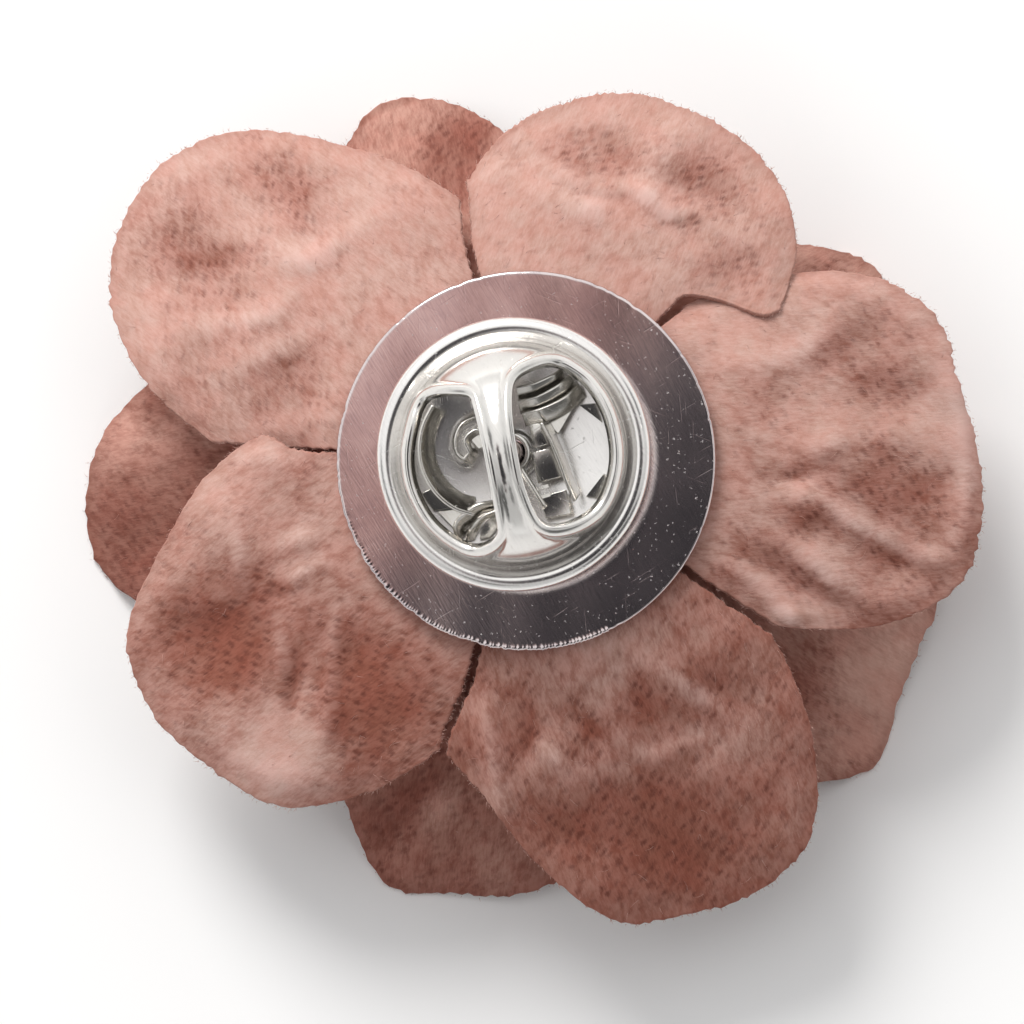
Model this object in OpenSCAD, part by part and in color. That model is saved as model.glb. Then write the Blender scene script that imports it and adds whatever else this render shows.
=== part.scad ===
// Flower lapel pin, lying on its face as it is seen from the back.
// The origin is the middle of the disc's back face, where a lapel bears.
// +Z leaves the flower's back along the post, and the flower lies on z = -flower_depth.

/* [Flower] */
// Distance from the disc's middle to the furthest petal tip
flower_radius = 20.5; // [19:0.5:23]
// Height from the surface that the flower lies on to the disc's back face
flower_depth = 10.4; // [10:0.1:12]
// Thickness of the cloth that the petals are cut from
cloth = 1; // [1:0.05:1.15]
// Depth of the glue between two layers
glue = 0.05; // [0.03:0.01:0.1]
// Width of the slit between neighbouring petals
slit = 0.24; // [0.16:0.02:0.4]
// Fall of an outer petal between the disc and the furthest tip
outer_drop = 5; // [4.2:0.1:5.4]
// How far a petal is lifted or pushed down where two neighbours cross
crossing_lift = 0.9; // [0.85:0.05:1.1]
// Height of the strongest fold pressed into a petal
relief = 1; // [0.5:0.05:1.1]
// Distance from the disc's middle to an inner petal's tip
inner_reach = 12; // [11:0.25:12.5]

/* [Button] */
// Diameter of the cloth button in the middle of the flower's front
button_d = 7.2; // [6:0.2:7.4]
// Height of the button's straight edge
button_edge = 0.8; // [0.5:0.1:1.2]
// Height of the button's dome
button_dome = 2.2; // [1.5:0.1:2.8]

/* [Disc and post] */
// Diameter of the polished disc
disc_d = 16; // [15:0.25:16.5]
// Thickness of the disc
disc_thick = 0.5; // [0.4:0.05:0.8]
// Bevel round the disc's back edge
disc_bevel = 0.12; // [0.05:0.01:0.2]
// Diameter of the post
post_d = 1.1; // [1:0.05:1.3]
// Distance of the post from the disc's middle along X
post_x = -0.3; // [-0.5:0.05:0.5]
// Distance of the post from the disc's middle along Y
post_y = 0.15; // [-0.5:0.05:0.5]
// Length of the post inside the clutch
post_in_clutch = 3.15; // [2.8:0.05:3.3]
// Length of the post's point
post_point = 0.7; // [0.4:0.05:1]

/* [Clutch] */
// Diameter of the clutch over its rolled rim
clutch_d = 11.5; // [11:0.1:12]
// Room for the lapel between the disc and the clutch
lapel_gap = 2.15; // [2.1:0.05:3]
// Thickness of the sheet that the clutch is pressed from
sheet = 0.3; // [0.25:0.01:0.35]
// Diameter of the rolled rim's wire-like edge
rim_d = 0.84; // [0.7:0.02:1]
// Radial play of the clutch's bore and jaws round the post
post_play = 0.06; // [0.03:0.01:0.09]
// Rise of the wings' top above the base's floor
wing_rise = 4.1; // [3.9:0.05:4.4]
// Width of the bridge between the two windows at its waist
bridge_w = 1.2; // [1:0.05:1.5]
// Distance of the bridge from the post across its length
bridge_shift = -0.46; // [-0.5:0.02:0]
// Length of a window along the bridge
window_length = 6.6; // [6:0.1:7]
// Width of the rolled edge round a window
window_bead = 0.3; // [0.2:0.02:0.4]
// Turn of the clutch about the post
clutch_turn = 12; // [-45:1:45]

/* [Spring] */
// Height of the spring's strips
spring_h = 1.5; // [1:0.1:1.8]
// Radius of the spring's two bows
bow_radius = 2.7; // [2.3:0.05:3]
// Thickness of the spring's strip
strip = 0.22; // [0.18:0.01:0.28]

/* [Hidden] */
$fn = 96;
eps = 0.01;

disc_r = disc_d / 2;
post_r = post_d / 2;
post_top = lapel_gap + post_in_clutch;
clutch_r = clutch_d / 2;
floor_z = -flower_depth;

// Each layer's cloth lies flat on the next under the disc, then falls towards the front.
outer_top = -disc_thick - glue;
middle_top = outer_top - cloth - glue;
inner_top = middle_top - cloth - glue;
button_top = inner_top - cloth - glue;
petal_root = 1.2;
flat_r = 0.75 * disc_r;
inner_flat_r = button_d / 2 + 0.4;

// Beyond the disc's edge a petal's sides spread, its crossing sides lift and its folds begin,
// each over a width of its own.
spread_from = 1.16 * disc_r;
spread_width = 0.34 * disc_r;
lift_width = 0.19 * disc_r;
fold_width = 0.5 * disc_r;

// A layer's columns: height of its root, radius where it starts to fall, reach it falls over
// (0 for each petal's own tip), fall, power of the fall, droop of the sides, rows and columns.
middle_fall = flower_depth + middle_top - cloth + 0.5;
inner_fall = flower_depth + inner_top - 1.8 * cloth;
OUTER = [outer_top, flat_r, flower_radius, outer_drop, 1.6, 0, 10, 16];
MIDDLE = [middle_top, flat_r, 0, middle_fall, 1.35, 0.6 * cloth, 8, 12];
INNER = [inner_top, inner_flat_r, 0, inner_fall, 1.2, 0.8 * cloth, 6, 10];

// A petal's columns: its low and high side at the root and at the edge in degrees, the lift of its
// low and high side in shares of crossing_lift, then its edge in shares of the flower's radius.
OUTER_PETALS = [
    [105.5, 176.2, 103.8, 176, 0, -0.9,
        [0.555, 0.67, 0.787, 0.922, 0.995, 1, 0.953, 0.833, 0.656]],
    [46, 104.9, 30.3, 103.2, 1, -0.2,
        [0.6, 0.711, 0.772, 0.797, 0.797, 0.788, 0.748, 0.69, 0.59]],
    [-34.4, 45.4, -34.3, 38, -0.3, -1,
        [0.6, 0.79, 0.91, 0.93, 0.915, 0.893, 0.885, 0.8, 0.63]],
    [-104.6, -35, -106.6, -34.9, -0.2, 0.3,
        [0.62, 0.7, 0.835, 0.955, 0.98, 0.99, 0.95, 0.806, 0.613]],
    [-182.8, -105.2, -187.4, -107, 0.9, 0.3,
        [0.54, 0.675, 0.785, 0.915, 0.94, 0.915, 0.88, 0.768, 0.62]]];
MIDDLE_PETALS = [
    [70, 146, 74.6, 140.6, 0, 0,
        [0.5, 0.58, 0.645, 0.745, 0.816, 0.834, 0.76, 0.66, 0.55]],
    [0, 70, 1, 65, 0, 0,
        [0.51, 0.62, 0.73, 0.8, 0.8, 0.71, 0.62, 0.55, 0.49]],
    [-68, 0, -66.5, -0.5, 0, 0,
        [0.62, 0.74, 0.85, 0.922, 0.885, 0.865, 0.862, 0.77, 0.61]],
    [-139, -68, -136, -69, 0, 0,
        [0.57, 0.69, 0.82, 0.92, 0.9, 0.885, 0.835, 0.72, 0.59]],
    [-214, -139, -212, -140, 0, 0,
        [0.58, 0.7, 0.82, 0.922, 0.96, 0.943, 0.83, 0.7, 0.59]]];

// The inner petals repeat one outline, in shares of the inner reach.
inner_edge = [0.6, 0.78, 0.9, 0.97, 1, 0.97, 0.9, 0.78, 0.6];
INNER_PETALS = [for (i = [0:4]) let (a = 72 * i - 18) [
    a - 36, a + 36, a - 33, a + 33, 0, 0, inner_edge * inner_reach / flower_radius]];

// A fold's columns: its petal, its middle (share of the flower's radius, degrees), its length and
// width in shares of the flower's radius, its turn from the radius, and its height in shares of
// relief, below zero for a dent.
OUTER_FOLDS = [
    [0, 0.77, 137, 0.13, 0.1, 0, -0.5],
    [0, 0.82, 150, 0.1, 0.1, 0, -0.5],
    [0, 0.56, 117, 0.22, 0.09, 60, 0.5],
    [0, 0.6, 160, 0.16, 0.07, 30, 0.35],
    [1, 0.5, 72, 0.09, 0.3, 0, 0.5],
    [1, 0.64, 77, 0.06, 0.12, 10, -0.45],
    [1, 0.63, 51, 0.07, 0.1, -10, -0.4],
    [1, 0.68, 64, 0.12, 0.05, 0, 0.4],
    [2, 0.6, -14, 0.28, 0.05, -45, 0.55],
    [2, 0.7, -2, 0.2, 0.05, -40, 0.45],
    [2, 0.56, -22, 0.12, 0.05, -40, -0.4],
    [2, 0.72, 7, 0.12, 0.08, 0, -0.45],
    [2, 0.78, -13, 0.14, 0.06, -30, -0.45],
    [3, 0.52, -98, 0.12, 0.045, 0, 0.4],
    [3, 0.52, -78, 0.12, 0.045, 0, 0.4],
    [3, 0.56, -62, 0.14, 0.045, 10, 0.4],
    [3, 0.66, -76, 0.06, 0.25, 12, 0.4],
    [3, 0.82, -62, 0.09, 0.2, 10, -0.5],
    [4, 0.78, -153, 0.14, 0.08, 0, -0.5],
    [4, 0.62, -141, 0.13, 0.045, -50, 0.55],
    [4, 0.62, -129, 0.12, 0.045, -45, 0.5],
    [4, 0.54, -135, 0.12, 0.04, -40, -0.35],
    [4, 0.53, -176, 0.12, 0.1, 0, 0.35]];
MIDDLE_FOLDS = [
    [0, 0.7, 104, 0.1, 0.06, 0, -0.35],
    [1, 0.7, 33, 0.1, 0.06, 0, -0.3],
    [2, 0.8, -40, 0.14, 0.06, 20, -0.4],
    [2, 0.8, -25, 0.12, 0.06, -10, 0.3],
    [3, 0.78, -112, 0.14, 0.06, -10, -0.4],
    [3, 0.8, -96, 0.12, 0.06, 10, 0.3],
    [4, 0.78, -170, 0.14, 0.06, 10, -0.4],
    [4, 0.78, -184, 0.12, 0.06, 0, 0.3]];

// The clutch's base lies a little above the lowest point of its rolled rim, and the wings stand
// on it inside a groove.
base_floor = lapel_gap + 0.1;
base_top = base_floor + sheet;
groove = 0.16;
seat_gap = 0.05;
wing_z = base_top + seat_gap;
wing_r = clutch_r - rim_d - groove;
wing_ball_r = (wing_r ^ 2 + wing_rise ^ 2) / (2 * wing_rise);
wing_ball_z = wing_z + wing_rise - wing_ball_r;
window_r = wing_r - 0.4;

// The share of a window's width that its straight side's round corners take, and how square they are.
window_corner = 0.22;
window_squareness = 0.55;
window_step = 15;

function smooth(x) = let (c = min(max(x, 0), 1)) c * c * (3 - 2 * c);
function blend(a, b, f) = a + (b - a) * f;

// A list of shares read smoothly at f from 0 to 1.
function read_shares(list, f) =
    let (
        last = len(list) - 1,
        i = min(floor(f * last), last - 1),
        s = f * last - i,
        b = list[i],
        c = list[i + 1],
        a = i > 0 ? list[i - 1] : 2 * b - c,
        d = i + 2 <= last ? list[i + 2] : 2 * c - b)
    b + s / 2 * (c - a + s * (2 * a - 5 * b + 4 * c - d + s * (3 * (b - c) + d - a)));

// Height of one fold at a place given by its radius and angle.
function fold(row, r, angle) =
    let (
        along = r - row[1] * flower_radius,
        across = r * sin(angle - row[2]),
        a = along * cos(row[5]) + across * sin(row[5]),
        b = across * cos(row[5]) - along * sin(row[5]))
    row[6] * relief * exp(-(a / (row[3] * flower_radius)) ^ 2 - (b / (row[4] * flower_radius)) ^ 2);
function folds(rows, i, r, angle, k = 0) =
    k == len(rows) ? 0 : (rows[k][0] == i ? fold(rows[k], r, angle) : 0) + folds(rows, i, r, angle, k + 1);

// Radius and angle of a petal's point at step s from its root and v from -1 to 1 across it.
function petal_place(layer, petal, s, v) =
    let (
        edge = flower_radius * read_shares(petal[6], (v + 1) / 2),
        r = s == 0 ? petal_root : blend(layer[1], edge, (s - 1) / (layer[6] - 1)),
        open = smooth((r - spread_from) / spread_width),
        low = blend(petal[0], petal[2], open),
        high = blend(petal[1], petal[3], open),
        angle = blend(low, high, (v + 1) / 2) - v * asin(slit / 2 / r))
    [r, angle];

function petal_fall(layer, reach, r) =
    let (t = max(0, (r - layer[1]) / (reach - layer[1]))) layer[3] * t ^ layer[4];

function petal_reach(layer, petal) = layer[2] > 0 ? layer[2] : flower_radius * max(petal[6]);

// The two faces' heights of a petal's cloth at one place. Cloth that would
// sink below the surface that the flower lies on is flat on it.
function petal_heights(layer, petal, rows, i, place, v) =
    let (
        r = place[0],
        reach = petal_reach(layer, petal),
        slope = (petal_fall(layer, reach, r + eps) - petal_fall(layer, reach, r)) / eps,
        free = smooth((r - disc_r) / lift_width),
        out = smooth((r - disc_r) / fold_width),
        side = crossing_lift * (petal[4] * max(0, -v) ^ 3 + petal[5] * max(0, v) ^ 3),
        shape = free * side + out * (folds(rows, i, r, place[1]) - layer[5] * v ^ 2),
        top = layer[0] - petal_fall(layer, reach, r) + shape,
        bottom = max(floor_z, top - cloth * sqrt(1 + slope ^ 2)))
    [max(top, bottom + cloth), bottom];

module petal(layer, petals, rows, i) {
    petal = petals[i];
    steps = layer[6];
    columns = layer[7];
    wide = columns + 1;
    half = (steps + 1) * wide;
    spots = [for (s = [0:steps]) for (c = [0:columns])
        let (
            v = 2 * c / columns - 1,
            place = petal_place(layer, petal, s, v),
            z = petal_heights(layer, petal, rows, i, place, v))
        [place[0] * cos(place[1]), place[0] * sin(place[1]), z[0], z[1]]];
    points = concat([for (p = spots) [p[0], p[1], p[2]]], [for (p = spots) [p[0], p[1], p[3]]]);
    back = [for (s = [0:steps - 1]) for (c = [0:columns - 1]) let (a = s * wide + c)
        each [[a, a + 1, a + wide], [a + 1, a + wide + 1, a + wide]]];
    front = [for (f = back) [f[2] + half, f[1] + half, f[0] + half]];
    rim = concat(
        [for (c = [0:columns]) c],
        [for (s = [1:steps]) s * wide + columns],
        [for (c = [columns - 1:-1:0]) steps * wide + c],
        [for (s = [steps - 1:-1:1]) s * wide]);
    sides = [for (k = [0:len(rim) - 1]) let (a = rim[k], b = rim[(k + 1) % len(rim)])
        each [[b, a, a + half], [b, a + half, b + half]]];
    polyhedron(points, concat(back, front, sides), convexity = 4);
}

module outer_petal(i) {
    color("rosybrown") petal(OUTER, OUTER_PETALS, OUTER_FOLDS, i);
}

module middle_petal(i) {
    color("indianred") petal(MIDDLE, MIDDLE_PETALS, MIDDLE_FOLDS, i);
}

module inner_petal(i) {
    color("rosybrown") petal(INNER, INNER_PETALS, [], i);
}

// A domed button of cloth holds the inner petals' roots.
module centre_button() {
    ball_r = ((button_d / 2) ^ 2 + button_dome ^ 2) / (2 * button_dome);
    color("indianred") {
        translate([0, 0, button_top - button_edge]) cylinder(h = button_edge, d = button_d);
        translate([0, 0, button_top - button_edge]) intersection() {
            translate([0, 0, ball_r - button_dome]) sphere(ball_r);
            translate([0, 0, -button_dome]) cylinder(h = button_dome + eps, d = button_d);
        }
    }
}

// The disc and its post are soldered into one solid.
module backing_disc() {
    color("silver") {
        translate([0, 0, -disc_thick]) cylinder(h = disc_thick - disc_bevel, r = disc_r);
        translate([0, 0, -disc_bevel]) cylinder(h = disc_bevel, r1 = disc_r, r2 = disc_r - disc_bevel);
        translate([post_x, post_y, -disc_bevel]) {
            cylinder(h = post_top - post_point + disc_bevel, r = post_r);
            translate([0, 0, post_top - post_point + disc_bevel])
                cylinder(h = post_point, r1 = post_r, r2 = 0.25 * post_r);
        }
    }
}

// Places a piece of the clutch on the post's axis.
module on_post() {
    translate([post_x, post_y, 0]) rotate([0, 0, clutch_turn]) children();
}

module clutch_base() {
    collar_r = post_r + post_play + sheet;
    color("silver") on_post() difference() {
        union() {
            translate([0, 0, base_floor]) cylinder(h = sheet, r = clutch_r - rim_d / 2);
            translate([0, 0, base_floor]) cylinder(h = 2.5 * sheet, r = collar_r);
            translate([0, 0, lapel_gap + rim_d / 2])
                rotate_extrude() translate([clutch_r - rim_d / 2, 0]) circle(d = rim_d, $fn = 32);
        }
        cylinder(h = base_top + 3 * sheet, r = post_r + post_play);
    }
}

// A window's outline on one side of the bridge: straight beside it and round outside.
function window_outline(side, grow) =
    let (
        inner = bridge_shift + side * bridge_w / 2,
        inner_depth = window_corner * (window_r - side * inner),
        outer_depth = window_r - side * inner - inner_depth,
        length = window_length / 2 + grow)
    [for (a = [0:window_step:360 - window_step])
        let (
            out = cos(a) > 0,
            power = out ? 1 : window_squareness,
            depth = (out ? outer_depth : inner_depth) + grow,
            x = sign(cos(a)) * abs(cos(a)) ^ power * depth,
            y = sign(sin(a)) * abs(sin(a)) ^ power * length)
        [inner + side * (inner_depth + x), y]];

module windows(grow) {
    for (side = [-1, 1])
        translate([0, 0, wing_z]) linear_extrude(wing_rise + sheet)
            polygon(window_outline(side, grow));
}

// The part of a ball between two radii above the clutch's floor.
module wing_shell(outer, inner) {
    intersection() {
        translate([0, 0, wing_ball_z]) difference() {
            sphere(outer);
            sphere(inner);
        }
        translate([0, 0, wing_z]) cylinder(h = wing_rise + sheet, r = wing_r + sheet);
    }
}

// The wings are one pressed dome with two windows, whose edges are rolled up.
module clutch_wings() {
    color("silver") on_post() difference() {
        union() {
            wing_shell(wing_ball_r, wing_ball_r - sheet);
            intersection() {
                wing_shell(wing_ball_r + 0.4 * sheet, wing_ball_r - sheet);
                windows(window_bead);
            }
        }
        windows(0);
    }
}

// Two jaws close on the post, each carried by a bow of spring strip.
module grip_spring() {
    jaw_r = post_r + post_play;
    jaw_z = base_top + 1.7 * sheet;
    color("gainsboro") on_post() for (turn = [0, 180]) rotate([0, 0, turn])
        translate([0, 0, jaw_z]) {
            rotate([0, 0, 100]) rotate_extrude(angle = 160)
                translate([jaw_r, 0]) square([strip, spring_h]);
            rotate([0, 0, 110]) rotate_extrude(angle = 140)
                translate([bow_radius, 0]) square([strip, spring_h]);
            rotate([0, 0, 110]) translate([jaw_r, -strip / 2, 0])
                cube([bow_radius + strip - jaw_r, strip, spring_h]);
        }
}

for (i = [0:4]) outer_petal(i);
for (i = [0:4]) middle_petal(i);
for (i = [0:4]) inner_petal(i);
centre_button();
backing_disc();
clutch_base();
clutch_wings();
grip_spring();
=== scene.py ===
"""Looks of a cloth flower lapel pin, lying on its face and seen from the back."""
import math

import bpy
import numpy as np
from mathutils import Matrix, Vector
from mathutils.geometry import delaunay_2d_cdt


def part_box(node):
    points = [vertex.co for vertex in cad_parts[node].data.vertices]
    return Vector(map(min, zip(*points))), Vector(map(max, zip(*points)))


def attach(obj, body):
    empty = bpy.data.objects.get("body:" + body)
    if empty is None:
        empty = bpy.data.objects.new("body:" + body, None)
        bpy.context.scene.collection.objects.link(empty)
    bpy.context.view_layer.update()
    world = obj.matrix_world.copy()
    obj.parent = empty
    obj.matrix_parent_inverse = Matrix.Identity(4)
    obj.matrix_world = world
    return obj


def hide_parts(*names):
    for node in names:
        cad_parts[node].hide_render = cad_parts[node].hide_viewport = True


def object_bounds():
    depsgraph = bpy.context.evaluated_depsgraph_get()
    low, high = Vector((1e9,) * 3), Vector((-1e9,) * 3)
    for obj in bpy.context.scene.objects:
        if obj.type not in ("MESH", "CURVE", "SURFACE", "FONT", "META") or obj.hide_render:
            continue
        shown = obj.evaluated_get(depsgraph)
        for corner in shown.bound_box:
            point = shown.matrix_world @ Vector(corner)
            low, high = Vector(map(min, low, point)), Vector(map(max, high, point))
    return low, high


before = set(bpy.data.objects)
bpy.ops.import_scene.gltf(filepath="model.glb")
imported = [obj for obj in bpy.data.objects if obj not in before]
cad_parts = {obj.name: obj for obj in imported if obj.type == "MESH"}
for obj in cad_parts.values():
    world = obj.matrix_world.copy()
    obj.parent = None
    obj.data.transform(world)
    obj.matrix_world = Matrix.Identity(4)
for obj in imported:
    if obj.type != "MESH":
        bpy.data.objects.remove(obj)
cad_box = [list(corner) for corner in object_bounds()]

MM = 0.001
SEED = 20

# Main sizes in millimetres, from the frame where it holds them.
disc_low, disc_high = (np.array(corner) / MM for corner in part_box("backing_disc"))
DISC_R = (disc_high[0] - disc_low[0]) / 2
DISC_THICK = -disc_low[2]
POST_TOP = disc_high[2]
POST = np.array([-0.3, 0.15])
POST_R = 0.55
POST_POINT = 0.7
CLUTCH_TURN = 12
CLUTCH_R = 5.75
LAPEL_GAP = 2.15
SHEET = 0.3
BASE_LOW = LAPEL_GAP + 0.1
BASE_TOP = BASE_LOW + SHEET
RIM_R = 0.42
BORE_R = POST_R + 0.06
WING_Z = 2.6
WING_R = 4.75
WING_RISE = 4.1
WING_SHEET = 0.28
DOME_STEPS, DOME_BORDER = 192, 0.25
SPRING_H = 1.5
BOW_R = 2.7
STRIP = 0.22
PLATE_THICK = 0.12
FLOOR_RISE = 0.1
FLOOR = cad_box[0][2] / MM
FLOWER_R = 20.5
CLOTH = 1.0
GLUE = 0.05
SLIT = 0.24
RELIEF = 1.0
CROSSING_LIFT = 0.38
VISIBLE_CLOTH = 0.5

# How rough a petal's cut edge and sides are, and how uneven its cloth is over long and short waves.
EDGE_RAGGED = 0.045
EDGE_NIBBLED = 0.035
SIDE_RAGGED = 0.035
UNEVEN_LONG = 0.12
UNEVEN_SHORT = 0.018

# How far in from its cut edge the cloth is rounded off, thins out and is frayed.
EDGE_ROUND = 0.12
EDGE_THIN = 1.6
EDGE_FRAYED = 0.35

# The layers of petals, as the model's own solids have them.
OUTER_TOP = -DISC_THICK - GLUE
MIDDLE_TOP = OUTER_TOP - CLOTH - GLUE
INNER_TOP = MIDDLE_TOP - CLOTH - GLUE
PETAL_ROOT = 1.2
FLAT_R = 0.75 * DISC_R
INNER_FLAT_R = 4.0
SPREAD_FROM, SPREAD_WIDTH = 1.16 * DISC_R, 0.34 * DISC_R
LIFT_WIDTH, FOLD_WIDTH = 0.19 * DISC_R, 0.5 * DISC_R

LAYERS = {
    "outer": dict(top=OUTER_TOP, flat=FLAT_R, reach=FLOWER_R, fall=5.0, power=1.6, droop=0.0,
                  rows=150, columns=140, hidden_rows=8),
    "middle": dict(top=MIDDLE_TOP, flat=FLAT_R, reach=None, fall=-FLOOR + MIDDLE_TOP - VISIBLE_CLOTH + 0.5,
                   power=1.35, droop=0.6, rows=102, columns=94, hidden_rows=8),
    "inner": dict(top=INNER_TOP, flat=INNER_FLAT_R, reach=None, fall=-FLOOR + INNER_TOP - 1.8 * CLOTH,
                  power=1.2, droop=0.8, rows=44, columns=44, hidden_rows=4),
}

# A petal: its low and high side at the root and at the edge in degrees, the lift of its low and
# high side in shares of CROSSING_LIFT, then its edge in shares of FLOWER_R.
PETALS = {
    "outer": [
        ((105.5, 176.2, 103.8, 176), (0, -0.9), (0.555, 0.67, 0.787, 0.922, 0.995, 1, 0.953, 0.833, 0.656)),
        ((46, 104.9, 30.3, 103.2), (0.45, -0.2), (0.6, 0.711, 0.772, 0.797, 0.797, 0.788, 0.748, 0.69, 0.59)),
        ((-34.4, 45.4, -34.3, 38), (-0.3, -1), (0.6, 0.79, 0.91, 0.93, 0.915, 0.893, 0.885, 0.8, 0.63)),
        ((-104.6, -35, -106.6, -34.9), (-0.2, 0.3),
         (0.62, 0.7, 0.835, 0.955, 0.98, 0.99, 0.95, 0.806, 0.613)),
        ((-182.8, -105.2, -187.4, -107), (0.5, 0.3),
         (0.54, 0.675, 0.785, 0.915, 0.94, 0.915, 0.88, 0.768, 0.62)),
    ],
    "middle": [
        ((70, 146, 74.6, 140.6), (0, 0), (0.5, 0.58, 0.645, 0.745, 0.816, 0.834, 0.76, 0.66, 0.55)),
        ((0, 70, 1, 65), (0, 0), (0.51, 0.62, 0.73, 0.8, 0.8, 0.71, 0.62, 0.55, 0.49)),
        ((-68, 0, -66.5, -0.5), (0, 0), (0.62, 0.74, 0.85, 0.922, 0.885, 0.865, 0.862, 0.77, 0.61)),
        ((-139, -68, -136, -69), (0, 0), (0.57, 0.69, 0.82, 0.92, 0.9, 0.885, 0.835, 0.72, 0.59)),
        ((-214, -139, -212, -140), (0, 0), (0.58, 0.7, 0.82, 0.922, 0.96, 0.943, 0.83, 0.7, 0.59)),
    ],
    "inner": [
        ((72 * i - 54, 72 * i + 18, 72 * i - 51, 72 * i + 15), (0, 0),
         tuple(12 / FLOWER_R * share for share in (0.6, 0.78, 0.9, 0.97, 1, 0.97, 0.9, 0.78, 0.6)))
        for i in range(5)
    ],
}

# A fold: its petal, its middle (share of FLOWER_R, degrees), its length and width in shares of
# FLOWER_R, its turn from the radius, and its height in shares of RELIEF, below zero for a dent.
# On the middle and inner petals a fold also carries painted light along it, and a dent painted shade.
FOLDS = {
    "outer": [
        (0, 0.77, 137, 0.13, 0.1, 0, -0.5), (0, 0.82, 150, 0.1, 0.1, 0, -0.5),
        (0, 0.56, 117, 0.22, 0.09, 60, 0.5), (0, 0.6, 160, 0.16, 0.07, 30, 0.35),
        (1, 0.5, 72, 0.09, 0.3, 0, 0.5), (1, 0.64, 77, 0.06, 0.12, 10, -0.45),
        (1, 0.63, 51, 0.07, 0.1, -10, -0.4), (1, 0.68, 64, 0.12, 0.05, 0, 0.4),
        (2, 0.6, -14, 0.28, 0.05, -45, 0.55), (2, 0.7, -2, 0.2, 0.05, -40, 0.45),
        (2, 0.56, -22, 0.12, 0.05, -40, -0.4), (2, 0.72, 7, 0.12, 0.08, 0, -0.45),
        (2, 0.78, -13, 0.14, 0.06, -30, -0.45),
        (3, 0.52, -98, 0.12, 0.045, 0, 0.4), (3, 0.52, -78, 0.12, 0.045, 0, 0.4),
        (3, 0.56, -62, 0.14, 0.045, 10, 0.4), (3, 0.66, -76, 0.06, 0.25, 12, 0.4),
        (3, 0.82, -62, 0.09, 0.2, 10, -0.5),
        (4, 0.78, -153, 0.14, 0.08, 0, -0.5), (4, 0.62, -141, 0.13, 0.045, -50, 0.55),
        (4, 0.62, -129, 0.12, 0.045, -45, 0.5), (4, 0.54, -135, 0.12, 0.04, -40, -0.35),
        (4, 0.53, -176, 0.12, 0.1, 0, 0.35),
    ],
    "middle": [
        (0, 0.7, 104, 0.1, 0.06, 0, -0.35), (1, 0.7, 33, 0.1, 0.06, 0, -0.3),
        (2, 0.8, -40, 0.14, 0.06, 20, -0.4), (2, 0.8, -25, 0.12, 0.06, -10, 0.3),
        (3, 0.78, -112, 0.14, 0.06, -10, -0.4), (3, 0.8, -96, 0.12, 0.06, 10, 0.3),
        (4, 0.78, -170, 0.14, 0.06, 10, -0.4), (4, 0.78, -184, 0.12, 0.06, 0, 0.3),
    ],
    "inner": [],
}
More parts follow.
